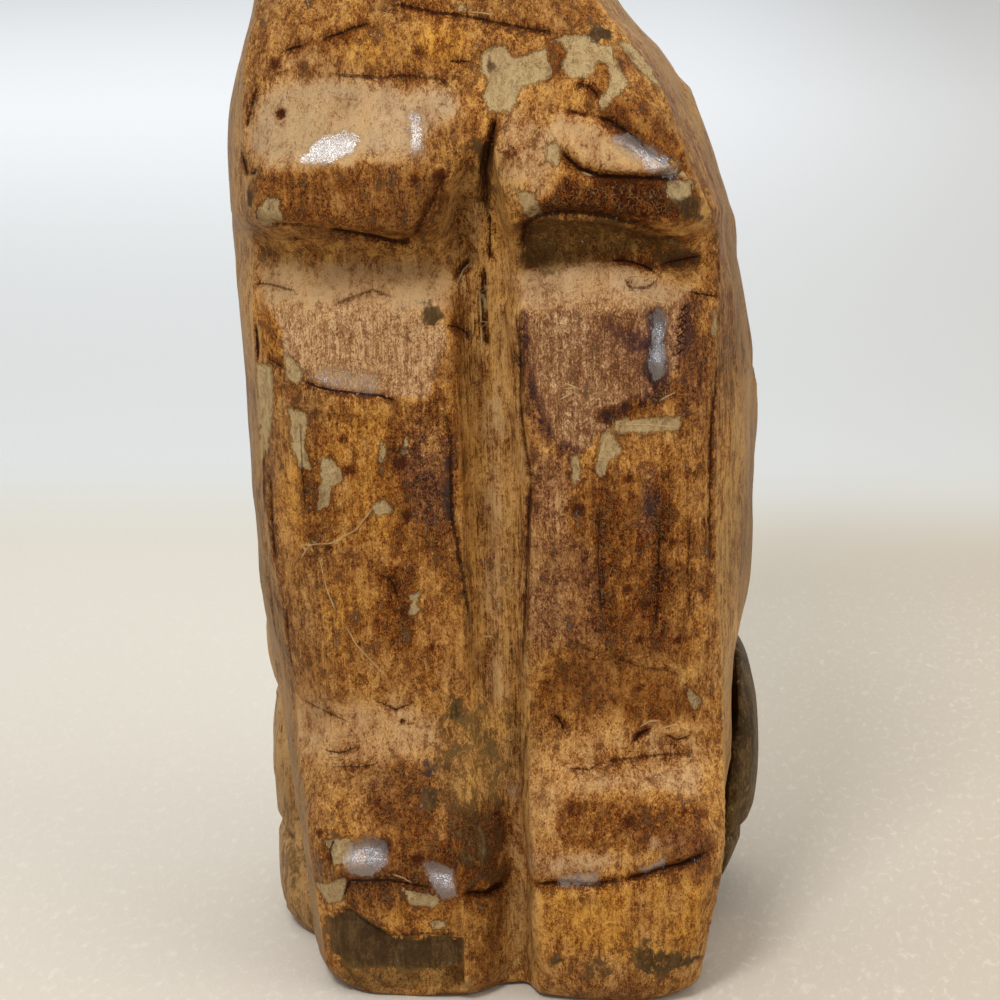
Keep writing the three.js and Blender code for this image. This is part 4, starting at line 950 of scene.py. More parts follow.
# The hind legs, on their outer sides: points are Y and Z.
PAW_CUTS = [(2.0, 0.9, 0.3, [(15, 12), (21, 16.5), (31, 17.5), (43, 15.5), (54, 13)])]
PAW_FORMS = [(0.5, 4.0, [(26, 26), (32, 40), (44, 40), (52, 28), (44, 20), (32, 20)])]

# The face, in the head's own frame: distance from its middle line, and height above the neck joint.
HEAD_PLACE = np.array([-14.5, 30.5, 186.3])
HEAD_TURN = 10.0
GAZE = Vector((-0.17, -0.985, 0.0)).normalized()
NOSE = [(-1, 14.6), (1.2, 15.0), (3.6, 18.6), (3.0, 20.0), (-1, 20.2)]
FACE_CUTS = [
    (1.1, 0.9, 1, [(0, 14.8), (0, 9.8)]),
    (1.3, 1.0, 1, [(0, 9.8), (2.2, 7.6), (5.5, 6.8), (9.5, 8.8)]),
    (1.4, 0.8, 0.9, [(3.2, 29.6), (5.6, 32.4), (9, 35.6), (14, 36.4), (19.5, 33.6)]),
    (1.1, 0.7, 0.9, [(6.6, 26.2), (9.4, 23.4), (13, 22.6), (16.8, 24.2), (20.2, 28.6)]),
    (0.9, 0.5, 0.8, [(6.9, 26.6), (4.6, 24.6), (3.6, 20.4)]),
    (0.8, 0.35, 0.6, [(8.5, 12.6), (17, 13.6)]),
    (0.8, 0.35, 0.6, [(8.5, 14.6), (17, 17.4)]),
    (0.8, 0.35, 0.6, [(8.5, 10.6), (16.4, 9.4)]),
    (0.9, 0.4, 0.6, [(0, 38), (0, 46)]),
    (0.9, 0.35, 0.5, [(4.4, 39), (5.4, 45.5)]),
]
FACE_HOLES = [(1.9, 16.4, 0.7, 0.5), (6.5, 12.4, 0.3, 0.3), (7.4, 10.6, 0.3, 0.3), (6.2, 14.2, 0.3, 0.3)]
FACE_FORMS = [
    (0.5, 0.7, NOSE),
    (-1.7, 1.3, [(11.6, 49), (20.5, 49.5), (19.6, 56), (17.6, 61.5)]),
    (0.4, 1.6, [(3.0, 8.5), (8.5, 8.8), (10, 12), (7.5, 15.5), (3.6, 14.6)]),
]

# The stain's channels, with their values on the front, the flanks and the back; on the flanks, ash also
# stands for painted sheen.
CHANNELS = {
    "speck": (0.42, 0.14, 0.34),
    "deep": (0.22, 0.05, 0.25),
    "gold": (0.35, 0.1, 0.3),
    "pale": (0.1, 0.2, 0.1),
    "olive": (0.08, 0.25, 0.3),
    "ash_and_sheen": (0.0, 0.85, 0.1),
    "smoke": (0.0, 0.0, 0.0),
    "purple": (0.05, 0.0, 0.05),
    "grain": (0.35, 1.0, 0.5),
}
GROOVE_STAIN = {"speck": 0.22, "pale": 0.12, "olive": 0.28, "grain": 1.0, "deep": 0.15, "gold": 0.42}

# The signed distances on the mesh, to outlines and to lines, stop here.
FAR = 6.0


# The shape and the stain of the front

# How deep the flaked and the worn fields lie, and how far a glossy spot may move its wood, in millimetres.
CHIP_DEPTH = 0.16
BARE_DEPTH = 0.2
GLINT_REACH = 2.2


def front_share(clay):
    """1 on the carving's front, 0 on its flanks and back."""
    side = ease(26, 31, np.abs(clay.points[:, 0] + 1.6)) * (1 - ease(0.42, 0.72, -clay.normals[:, 1]))
    return (1 - side) * ease(0.0, 0.25, -clay.normals[:, 1]) * ease(24, 15, clay.points[:, 1])


def relief(flat, cuts, holes, forms):
    """How far in the lines, holes and forms go at each flat point."""
    depth = np.zeros(len(flat))
    for width, cut, _, line in cuts:
        gap, along, _ = line_distance(flat, line)
        fade = np.minimum(1, 5 * np.minimum(along, 1 - along) + 0.2)
        depth = np.maximum(depth, cut * fade * np.clip(1 - gap / width, 0, 1) ** 1.3)
    for x, z, radius, cut in holes:
        gap = np.hypot(flat[:, 0] - x, flat[:, 1] - z)
        depth = np.maximum(depth, cut * ease(1.2 * radius, 0.3 * radius, gap))
    for rise, soft, outline in forms:
        depth -= rise * ease(-soft, soft, inside_distance(flat, outline))
    return depth


def stain_and_shade_near_cuts(flat, cuts, dots):
    """How much darker it is around the lines, holes and dots: stain pooled there, and painted shade in the
    cuts and holes.
    """
    crease = np.zeros(len(flat))
    for width, _, dark, line in cuts:
        gap, along, _ = line_distance(flat, line)
        fade = np.minimum(1, 5 * np.minimum(along, 1 - along) + 0.2)
        crease = np.maximum(crease, 0.62 * dark * fade * np.clip(1 - gap / (1.3 * width + 0.9), 0, 1))
    for x, z, radius, dark in dots:
        gap = np.hypot(flat[:, 0] - x, flat[:, 1] - z)
        crease = np.maximum(crease, dark * np.clip(1.5 - 1.1 * gap / radius, 0, 1))
    return crease


def strokes(flat, lines):
    """Signed distance to the nearest thin line, in its half widths, and how strong its mark is."""
    nearest, side, strength = np.full(len(flat), 9.0), np.full(len(flat), 9.0), np.zeros(len(flat))
    for width, mark, line in lines:
        gap, along, sign = line_distance(flat, line)
        closer = gap < nearest
        nearest[closer] = gap[closer]
        side[closer] = (sign * gap / width)[closer]
        fade = np.minimum(1, 7 * np.minimum(along, 1 - along))
        strength[closer] = (mark * fade * ease(2.0, 1.1, gap))[closer]
    return np.clip(side, -FAR, FAR), strength


def paint_strokes(clay, flat, share, cuts, scratches_and_glints=()):
    """Record the thin lines: dark ones in the cuts, which are stain and painted shade, and pale scratches,
    some of which are painted highlights.
    """
    dark = [(0.17 * width + 0.07, darkness, line) for width, _, darkness, line in cuts]
    for name, lines in (("line_stain_and_shade", dark), ("scratch_and_glint", [(0.16, 1.0, line) for line in scratches_and_glints])):
        side, strength = strokes(flat, lines)
        clay.paint(name + "_side", side)
        clay.paint(name, strength * share)


def swell_paws(clay):
    """Let the paws swell into the groove, down to a narrow valley between them."""
    x, y, z = clay.points.T.copy()

    # The left paw: how far back its skin may lie at each point, and where that counts.
    limit = -6.4 + 0.06 * np.clip(z - 22, 0, 22) ** 1.35 + 10.4 * np.clip((x + 8.5) / 9.5, 0, 1) ** 1.8
    limit += 0.16 * np.clip(5 - z, 0, 5) ** 2
    share = ease(48, 28, z) * ease(2.4, 0.4, x) * ease(-10, -7.5, x) * ease(8, 5, y)
    clay.points[:, 1] = y - share * np.maximum(0, y - limit)

    # The right paw, lower and blunter.
    y = clay.points[:, 1].copy()
    limit = -5.0 + 9.4 * np.clip((7.4 - x) / 6.4, 0, 1) ** 1.4 + 0.16 * np.clip(5 - z, 0, 5) ** 2
    share = ease(27, 18, z) * ease(0.2, 1.4, x) * ease(9.5, 7.5, x) * ease(13, 9, y)
    clay.points[:, 1] = y - share * np.maximum(0, y - limit)
    near = ease(34, 24, z) * ease(-3, 0, x) * ease(11, 8, x) * ease(14, 10, y)
    clay.relax(14, 0.5 * near[:, None])


def carve_front(clay):
    """Cut the front's creases, lips and holes, and turn the glossy spots towards the window."""
    flat = clay.points[:, [0, 2]]
    front = front_share(clay)
    depth = relief(flat, CUTS, HOLES, FORMS)
    for outline in CHIPS:
        depth += CHIP_DEPTH * ease(-0.4, 0.5, inside_distance(flat, outline))
    for outline in BARE:
        depth += BARE_DEPTH * ease(-0.5, 0.6, inside_distance(flat, outline))
    clay.push(depth * front)
    for share, outline in GLOSS_AND_REFLECTION_SPOTS:
        inside = ease(-1.2, 1.6, inside_distance(flat, outline)) * front
        near = inside > 0.01
        if near.any():
            middle = clay.points[near].mean(0)
            to_window = WINDOW - middle
            to_eye = EYE - middle
            half = to_window / np.linalg.norm(to_window) + to_eye / np.linalg.norm(to_eye)
            half /= np.linalg.norm(half)
            move = np.clip((middle - clay.points[near]) @ half, -GLINT_REACH, GLINT_REACH)
            turned = clay.points[near] + half * (move * share * inside[near])[:, None]
            turned[:, 1] += max(0.0, clay.low[1] + 0.05 - turned[:, 1].min()) * inside[near]
            clay.points[near] = turned
    clay.write()


def lay_stains(values, stains, share):
    """Bring the channels to the stains' values, by the share."""
    for name, value in stains.items():
        values[name] = values[name] * (1 - share) + value * share


def stain_front(clay):
    """Record where the stain is dark, worn, bare and chipped, and where shade, light, sheen and reflection
    are painted.
    """
    points, normals = clay.points, clay.normals
    flat = points[:, [0, 2]]
    front = front_share(clay)
    flank = ease(0.45, 0.8, np.abs(normals[:, 0])) * (1 - front)
    rear = np.clip(1 - front - flank, 0, 1)
    wander = 0.16 * ripple(points, 20, 3) + 0.1 * ripple(points, 8, 4)
    fray = 0.9 * ripple(points, 3.2, 9) + 0.5 * ripple(points, 1.4, 10)
    values = {}
    for name, (on_front, on_flank, on_rear) in CHANNELS.items():
        values[name] = on_front * front + on_flank * flank + on_rear * rear
        if name != "smoke":
            values[name] += wander
    edge = flank * (normals[:, 0] > 0) * ease(19, 11, points[:, 1] + 3 * ripple(points, (9, 9, 30), 15))
    # Ash on the flanks, in streaks: greyed wood and painted sheen.
    values["ash_and_sheen"] *= 0.62 + 0.5 * ripple(points, (12, 12, 45), 16) + 0.3 * ripple(points, (3, 3, 18), 17)
    values["ash_and_sheen"] -= 0.9 * edge
    values["deep"] += 0.45 * edge * ease(85, 120, points[:, 2])
    values["speck"] += 0.3 * edge * ease(85, 120, points[:, 2])
    values["olive"] += 0.2 * edge
    groove = ease(6.4, 4.6, np.abs(points[:, 0] + 1.2)) * ease(152, 143, points[:, 2])
    groove = groove * ease(0.0, 0.3, -normals[:, 1]) * ease(26, 44, points[:, 2])
    lay_stains(values, GROOVE_STAIN, groove)
    for stains, soft, outline in PATCHES:
        frayed = inside_distance(flat, outline) + fray * min(1, 0.35 + 0.4 * soft)
        lay_stains(values, stains, front * ease(-soft, soft, frayed))
    paint_strokes(clay, flat, front, CUTS, SCRATCHES_AND_GLINTS)
    # The glossy spots, which also get a painted grey reflection in the material.
    wet = np.zeros(len(points))
    for share, outline in GLOSS_AND_REFLECTION_SPOTS:
        wet = np.maximum(wet, share * ease(-1.0, 0.8, inside_distance(flat, outline)))
    bare = np.max([inside_distance(flat, outline) for outline in BARE], axis=0)
    chip = np.max([inside_distance(flat, outline) for outline in CHIPS], axis=0)
    values.update(crease=stain_and_shade_near_cuts(flat, CUTS, [*HOLES, *DOTS]) * front, wet=wet * front)
    for name, value in values.items():
        clay.paint(name, np.clip(value, 0, 1))
    clay.paint("bare", np.where(front > 0.4, np.clip(bare, -FAR, FAR), -FAR))
    clay.paint("chip", np.where(front > 0.4, np.clip(chip, -FAR, FAR), -FAR))
    clay.paint("hollow", np.clip(clay.hollowness(16) / 0.5, -1, 1))


def plain_stain(clay, crease=0.0, **looks):
    """The same channels for a piece with few features of its own."""
    none = np.zeros(len(clay.points))
    wander = 0.16 * ripple(clay.points, 14, 5)
    for name, (on_front, _, _) in CHANNELS.items():
        clay.paint(name, np.clip(looks.get(name, on_front) + (wander if name != "smoke" else none), 0, 1))
    for name, value in (("crease", crease), ("wet", looks.get("wet", 0))):
        clay.paint(name, none + value)
    for name in ("bare", "chip"):
        clay.paint(name, none - FAR)
    clay.paint("hollow", np.clip(clay.hollowness(12) / 0.5, -1, 1))


# Materials


def stained_wood(name, settings):
    """Mottled stain under lacquer, driven by the channels on the mesh, with painted shade in creases and
    hollows, painted highlights, painted reflection and painted sheen.
    """
    paint = Paint(name)
    streak = paint.noise((1.5, 1.5, 0.06), 4, 0.62, 0.3, 1) - 0.5
    fibre = paint.noise((5.0, 5.0, 0.3), 3, 0.65, 0.2, 2) - 0.5
    blot = paint.noise((0.6, 0.6, 0.4), 5, 0.62, 0.8, 3) - 0.5
    speck = paint.noise((1.8, 1.8, 1.15), 5, 0.7, 1.2, 4) - 0.5
    dust = paint.noise((5.0, 5.0, 3.2), 3, 0.65, 0.8, 5) - 0.5
    cloud = paint.noise((0.16, 0.16, 0.1), 3, 0.6, 0.3, 6) - 0.5
    wash = paint.noise((0.28, 0.28, 0.14), 4, 0.6, 0.7, 8) - 0.5
    cover, deep, gold, pale = (paint.attribute(key) for key in ("speck", "deep", "gold", "pale"))
    olive, ash_and_sheen, smoke = (paint.attribute(key) for key in ("olive", "ash_and_sheen", "smoke"))
    purple, grain = paint.attribute("purple"), paint.attribute("grain")
    crease, wet, hollow = (paint.attribute(key) for key in ("crease", "wet", "hollow"))
    bare, chip = paint.attribute("bare"), paint.attribute("chip")
    curl = paint.noise((1.0, 1.0, 0.75), 3, 0.6, 1.2, 9) - 0.5
    pit = paint.noise((0.75, 0.75, 0.6), 3, 0.6, 1.4, 10) - 0.5
    fine = speck * 1.45 + dust * 1.05

    # The light colour of each zone, then four darker stains over it.
    light = paint.blend(settings.ochre, settings.gold, gold * 1.1)
    light = paint.blend(light, settings.tan, pale * 0.9 + cloud)
    light = paint.blend(light, settings.moss, olive * 0.9 + cloud)
    # Ash: greyed wood, with painted sheen on the flanks.
    light = paint.blend(light, settings.ash_and_sheen, ash_and_sheen * (1.0 - gold * 0.3))
    light = paint.blend(light, settings.chestnut, deep * 0.55 + wash * 0.8)
    brown = paint.blend(srgb(131, 70, 12), srgb(124, 72, 46), purple)
    brown = paint.blend(brown, srgb(124, 94, 60), ash_and_sheen)
    brown = paint.blend(brown, srgb(108, 78, 38), olive * 0.8)
    dark = paint.blend(srgb(88, 33, 0), srgb(76, 32, 22), purple)
    dark = paint.blend(dark, srgb(84, 56, 32), ash_and_sheen)
    dark = paint.blend(dark, srgb(62, 42, 18), olive * 0.8)
    darkest = paint.blend(srgb(42, 10, 0), srgb(32, 14, 18), purple)
    # The tone is darker in the creases and hollows: painted shade there, with pooled stain.
    tone = blot * 1.2 + fine * 1.2 + wash * 0.9 + streak * (grain * 1.2 + 0.2) + fibre * (grain * 1.2 + 0.1)
    tone = tone + cover * 0.72 + deep * 0.12 + crease * 0.5 - pale * 0.12 + hollow * 0.14 - 0.26
    colour = paint.blend(light, brown, tone.step(-0.36, -0.04) * 0.45)
    colour = paint.blend(colour, brown, tone.step(-0.04, 0.14) * 0.75)
    colour = paint.blend(colour, dark, tone.step(0.15, 0.31) * 0.86)
    colour = paint.blend(colour, darkest, tone.step(0.4, 0.58) * 0.88)

    # Stain sits in small pits, and the thin ridges between them are painted pale: painted highlights.
    busy = (cover + deep * 0.3 + blot * 1.5).step(0.25, 0.8) * (1 - pale * 0.6) * (1 - ash_and_sheen * 0.8)
    pits = (pit + fine * 0.3).step(0.14, 0.2) * busy
    highlit_ridges = (0.05 - curl.size() + dust * 0.06).step(0.0, 0.04) * busy * (fine + 0.2).step(0.0, 0.3)
    colour = paint.blend(colour, paint.blend(srgb(50, 14, 4), srgb(44, 16, 20), purple), pits * 0.8)
    colour = paint.blend(colour, srgb(212, 160, 88), highlit_ridges * 0.34)

    # Bare wood in the two worn fields, flaked lacquer, and sooty patches, some of which are painted shade in
    # the hollows under the shoulders and on the left paw's slope.
    edge = blot * 3.0 + speck * 2.4
    raw = (bare + edge).step(-0.3, 0.4) * (1 - pale * 0.9) * (1 - smoke)
    worn = fine * 1.1 + blot * 0.6 + streak * 0.7 + fibre * 0.6 + cover * 0.95 + deep * 0.12 - 0.14
    raw_tone = paint.blend(settings.rose, srgb(146, 102, 66), worn.step(-0.22, 0.16))
    raw_dark = paint.blend(srgb(96, 54, 28), srgb(84, 50, 46), purple)
    raw_tone = paint.blend(raw_tone, raw_dark, worn.step(0.14, 0.42) * 0.9)
    raw_tone = paint.blend(raw_tone, srgb(38, 18, 18), worn.step(0.5, 0.85) * 0.9)
    colour = paint.blend(colour, raw_tone, raw * 0.95)

    flaked = (chip + edge * 0.8).step(-0.12, 0.12)
    flaked_tone = paint.blend(settings.chip, srgb(150, 122, 78), (streak + fine * 0.8 + blot).step(-0.1, 0.5))
    rim = (chip + edge * 0.8 + 0.4).step(-0.3, 0.1) * (1 - flaked)
    colour = paint.blend(colour, flaked_tone, flaked * (0.86 - wash * 1.1 - blot * 1.1))
    colour = paint.blend(colour, srgb(84, 44, 14), rim * 0.45)

    smudge = (blot * 2.4 + wash * 1.6 + speck * 1.2) * (1.25 - smoke * 0.75)
    soot = (smoke * 1.4 + smudge - 0.3).step(0.0, 0.7)
    thin = fine * 0.8 + blot * 1.4 + wash * 1.6 + streak + fibre * 0.7
    soot_light = paint.blend(srgb(100, 76, 46), srgb(126, 98, 50), olive)
    soot_tone = paint.blend(srgb(46, 32, 16), soot_light, thin.step(-0.25, 0.4))
    soot_tone = paint.blend(soot_tone, srgb(44, 36, 44), purple * 0.8)
    colour = paint.blend(colour, soot_tone, soot * 0.92)

    # Thin dark lines in the cuts, and darkening around the cuts and in the hollows: stain pooled there and
    # painted shade. Then pale scratches, some of them painted highlights, and a painted grey reflection under
    # the glossy spots.
    far = paint.attribute("line_stain_and_shade_side").size()
    line_stain_and_shade = paint.attribute("line_stain_and_shade") * (1.15 - far + fine * 1.4 + blot * 0.8).step(0.0, 0.55)
    # Painted shade and pooled stain around the cuts, holes and dots.
    pooled_stain_and_shade = (crease * 1.1 + blot * 0.9 + fine * 0.6 - 0.3).step(0.0, 0.6)
    colour = paint.blend(colour, srgb(70, 28, 6), pooled_stain_and_shade * 0.75)
    # Painted shade and stain: near-black lines down the middle of the cuts.
    colour = paint.blend(colour, srgb(16, 5, 2), line_stain_and_shade * 0.95)
    # Painted shade, with pooled stain, darkens the hollows.
    colour = paint.blend(colour, srgb(70, 34, 10), hollow.step(0.2, 1.0) * 0.36)
    # Pale scratches, and painted highlights where the strokes stand for glints.
    far = paint.attribute("scratch_and_glint_side").size()
    scratch_and_glint = paint.attribute("scratch_and_glint") * (1.1 - far + fine * 1.6 + streak * 2.0).step(0.0, 0.7)
    colour = paint.blend(colour, srgb(208, 174, 122), scratch_and_glint * 0.66)
    # Painted reflection: under the glossy spots the colour goes grey, as for the sky seen in the lacquer.
    colour = paint.blend(colour, srgb(84, 70, 66), wet * 0.55)

    height = blot * 0.6 + speck * 0.5 + dust * 0.16 + (streak * 0.5 + fibre * 0.5) * (grain * 0.7 + 0.2)
    height = height - flaked * 0.4 - raw * 0.25 + scratch_and_glint * 0.3 - line_stain_and_shade * 0.6 - pits * 0.25 + highlit_ridges * 0.2
    roughness = 0.38 + speck * 0.2 + raw * 0.1 + flaked * 0.22
    gloss = (wet * 1.4 + blot * 2.4 + speck * 2.2 + dust * 1.0 + streak * 1.4 - 0.55).step(0.0, 0.35)
    return paint.finish(colour, roughness, height, 0.8, 0.9, {"Specular IOR Level": 0.06}, gloss)


def bare_wood(name):
    """Plain turned beech, for the dowels and the peg."""
    paint = Paint(name)
    grain = paint.noise((1.4, 0.9, 1.4), 5, 0.6, 0.4, 7)
    colour = paint.blend(srgb(206, 174, 124), srgb(164, 126, 78), grain.step(0.4, 0.65))
    return paint.finish(colour, 0.62 + grain * 0.2, grain, 0.35, 0.2, {})


# Operators


class FIGURINE_OT_body(bpy.types.Operator):
    """Sculpt the body and cut it into its two staves"""

    bl_idname = "figurine.body"
    bl_label = "Body"

    def execute(self, context):
        settings = context.scene.figurine
        overlap = 0.5 * MM
        seam = (SEAM_X - ORIGIN[0]) * MM

        def close_seam(node, vert):
            """Let the two staves overlap, so that their skin is one."""
            if abs(vert.co.x - seam) < 0.2 * MM:
                vert.co.x += overlap if node.startswith("left") else -overlap

        staves = copy_of_nodes(["left_body_stave", "right_body_stave"], close_seam)
        skin, clay = carved(staves, settings.voxel)
        back = 1 - ease(0.05, 0.35, -clay.normals[:, 1]) * ease(26, 18, clay.points[:, 1])
        clay.knife_facets(settings.facet, 0.35, back, 11)
        front = front_share(clay)
        paws = ease(50, 30, clay.points[:, 2]) * front
        calm, sunk = np.zeros(len(clay.points)), np.zeros(len(clay.points))
        for node in ("left_haunch", "right_haunch"):
            away, below = reach_to(clay, node, 6)
            calm = np.maximum(calm, ease(6, 3, away))
            seat = away * ease(0.6, 0.9, below) * ease(3.5, 2.5, away)
            sunk = np.maximum(sunk, 1.2 * ease(2.3, 0.8, away) + seat)
        small = 0.18 + 0.1 * front + 0.3 * paws
        lumps = 0.4 * ripple(clay.points, 14, 1) + small * ripple(clay.points, 5.5, 2)
        lumps += 0.09 * ripple(clay.points, (1.6, 1.6, 14), 12) + 0.07 * front * ripple(clay.points, 2.4, 13)
        clay.push((lumps * (1 - 0.85 * calm) + 0.2) * ease(1, 5, clay.points[:, 2]) + sunk)
        swell_paws(clay)
        carve_front(clay)
        stain_front(clay)
        material = stained_wood("stained_lacquered_wood", settings)
        for side, name in ((-1, "left"), (1, "right")):
            half = half_of(skin, name + "_body", side)
            new_piece(name + "_body", half, material, "stained_wood", name + "_body_stave")
        bpy.data.meshes.remove(skin)
        return {"FINISHED"}


class FIGURINE_OT_haunches(bpy.types.Operator):
    """Sculpt the two hind legs"""

    bl_idname = "figurine.haunches"
    bl_label = "Haunches"

    def execute(self, context):
        settings = context.scene.figurine
        looks = {
            "left_haunch": dict(speck=0.08, gold=0.1, pale=0.5, olive=0.5, ash_and_sheen=0.0, grain=1.0),
            "right_haunch": dict(speck=0.7, gold=0.0, pale=0.0, olive=0.85, deep=0.0, ash_and_sheen=0.0, grain=1.0),
        }
        material = stained_wood("olive_lacquered_wood", settings)
        for node, look in looks.items():
            side = 1 if node == "right_haunch" else -1

            def thicken(_, vert):
                """Give the thin piece more wood on its inner side."""
                if vert.normal.x * side < -0.3:
                    vert.co.x -= side * 1.5 * MM

            skin, clay = carved(copy_of_nodes([node], thicken), settings.voxel * 0.7, 14)
            clay.knife_facets(9, 0.2, np.ones(len(clay.points)), 21)
            outer = ease(0.35, 0.75, clay.normals[:, 0] * side)
            clay.push(0.2 * ripple(clay.points, 6, 6) - 0.1 - 0.2 * outer)
            flat = clay.points[:, [1, 2]]
            clay.push(relief(flat, PAW_CUTS, [], PAW_FORMS) * outer)
            paint_strokes(clay, flat, outer, PAW_CUTS)
            smoke = 0.12 + 0.25 * ripple(clay.points, (7, 7, 16), 7)
            if side == 1:
                smoke = 0.66 + 0.3 * ease(22, 46, clay.points[:, 2] + 6 * ripple(clay.points, (5, 5, 14), 7))
            plain_stain(clay, crease=stain_and_shade_near_cuts(flat, PAW_CUTS, []) * outer, smoke=smoke, **look)
            new_piece(node + "_carved", skin, material, "olive_wood", node)
        return {"FINISHED"}


class FIGURINE_OT_tail(bpy.types.Operator):
    """Sculpt the tail"""

    bl_idname = "figurine.tail"
    bl_label = "Tail"

    def execute(self, context):
        settings = context.scene.figurine
        skin, clay = carved(copy_of_nodes(["tail"]), 0.6)
        clay.knife_facets(6, 0.12, np.ones(len(clay.points)), 31)
        paint_strokes(clay, clay.points[:, [0, 2]], 0.0, [])
        plain_stain(clay)
        new_piece("tail_carved", skin, stained_wood("tail_lacquered_wood", settings), "stained_wood", "tail")
        return {"FINISHED"}


class FIGURINE_OT_head(bpy.types.Operator):
    """Sculpt the head"""

    bl_idname = "figurine.head"
    bl_label = "Head"

    def execute(self, context):
        settings = context.scene.figurine
        skin, clay = carved(copy_of_nodes(["head"]), settings.head_voxel)
        clay.knife_facets(7, 0.22, 0.8 * ease(232, 224, clay.points[:, 2]), 41)
        clay.push(0.12 * ripple(clay.points, 5, 8) + 0.05)
        turn = math.radians(HEAD_TURN)
        away = clay.points - HEAD_PLACE
        across = away[:, 0] * math.cos(turn) - away[:, 1] * math.sin(turn)
        facing = clay.normals[:, 0] * -math.sin(turn) - clay.normals[:, 1] * math.cos(turn)
        face = ease(0.15, 0.5, facing)
        flat = np.stack([np.abs(across), away[:, 2]], axis=1)
        clay.push(relief(flat, FACE_CUTS, FACE_HOLES, FACE_FORMS) * face)
        crease = stain_and_shade_near_cuts(flat, FACE_CUTS, FACE_HOLES) * face
        paint_strokes(clay, flat, face, FACE_CUTS)
        nose = ease(-0.6, 0.4, inside_distance(flat, NOSE)) * face
        # The nose is sooty and glossy, with the painted grey reflection of the glossy spots.
        plain_stain(clay, crease=crease, gold=0.6, speck=0.42, deep=0.25, smoke=0.9 * nose, wet=0.5 * nose)
        new_piece("head_carved", skin, stained_wood("head_lacquered_wood", settings), "stained_wood", "head")
        return {"FINISHED"}


class FIGURINE_OT_eyes(bpy.types.Operator):
    """Set the glass eyes"""

    bl_idname = "figurine.eyes"
    bl_label = "Eyes"

    def execute(self, context):
        settings = context.scene.figurine
        for side in ("left", "right"):
            low, high = (Vector(v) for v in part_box(side + "_eye"))
            middle, radius = (low + high) / 2, (high.x - low.x) / 2 * 0.995
            work = bmesh.new()
            bmesh.ops.create_uvsphere(work, u_segments=48, v_segments=32, radius=radius)
            geometry = work.verts[:] + work.edges[:] + work.faces[:]
            plane = {"plane_co": GAZE * -0.45 * radius, "plane_no": -GAZE}
            back = bmesh.ops.bisect_plane(work, geom=geometry, dist=1e-7, clear_outer=True, **plane)
            rim = [item for item in back["geom_cut"] if isinstance(item, bmesh.types.BMEdge)]
            bmesh.ops.holes_fill(work, edges=rim, sides=0)
            rounding = {"offset": 0.12 * radius, "segments": 3, "profile": 0.5, "material": -1}
            bmesh.ops.bevel(work, geom=rim, affect="EDGES", clamp_overlap=True, **rounding)
            bmesh.ops.translate(work, verts=work.verts, vec=middle)
            mesh = bpy.data.meshes.new(side + "_glass_eye")
            work.to_mesh(mesh)
            work.free()
            mesh.polygons.foreach_set("use_smooth", [True] * len(mesh.polygons))
            glass = self.glass(side, settings, middle)
            new_piece(side + "_glass_eye", mesh, glass, "amber_glass", side + "_eye")
        return {"FINISHED"}

    def glass(self, side, settings, middle):
        """Amber glass with an upright pupil, centred on the eye's middle."""
        paint = Paint(side + "_amber_glass")
        offset = paint.node("ShaderNodeVectorMath", {"operation": "SUBTRACT"}, [paint.place, middle / MM])
        sideways = (-GAZE.y, GAZE.x, 0)
        across = paint.node("ShaderNodeVectorMath", {"operation": "DOT_PRODUCT"}, [offset, sideways], 1)
        upward = paint.node("ShaderNodeSeparateXYZ", {}, [offset], 2)
        ring = (across * across + upward * upward).power(0.5)
        pupil = (across * across * 7 + upward * upward * 0.55).power(0.5).step(1.9, 1.6)
        rays = paint.noise((2.2, 2.2, 2.2), 3, 0.6, 0, 9)
        browning = (ring * 0.22 + rays * 0.3 - 0.2).step(0.5, 1.0)
        colour = paint.blend(settings.glass, srgb(120, 62, 12), browning)
        colour = paint.blend(colour, srgb(8, 6, 5), pupil)
        polish = {"Coat Weight": 1.0, "Coat Roughness": 0.03}
        return paint.finish(colour, 0.12 + rays * 0.05, rays, 0.05, 0.05, polish)


class FIGURINE_OT_dowels(bpy.types.Operator):
    """Give the hidden dowels and the tail's peg their wood"""

    bl_idname = "figurine.dowels"
    bl_label = "Dowels"

    def execute(self, context):
        material = bare_wood("bare_beech")
        for node in ("lower_body_dowel", "upper_body_dowel", "neck_dowel", "tail_peg"):
            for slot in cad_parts[node].material_slots:
                slot.material = material
        return {"FINISHED"}


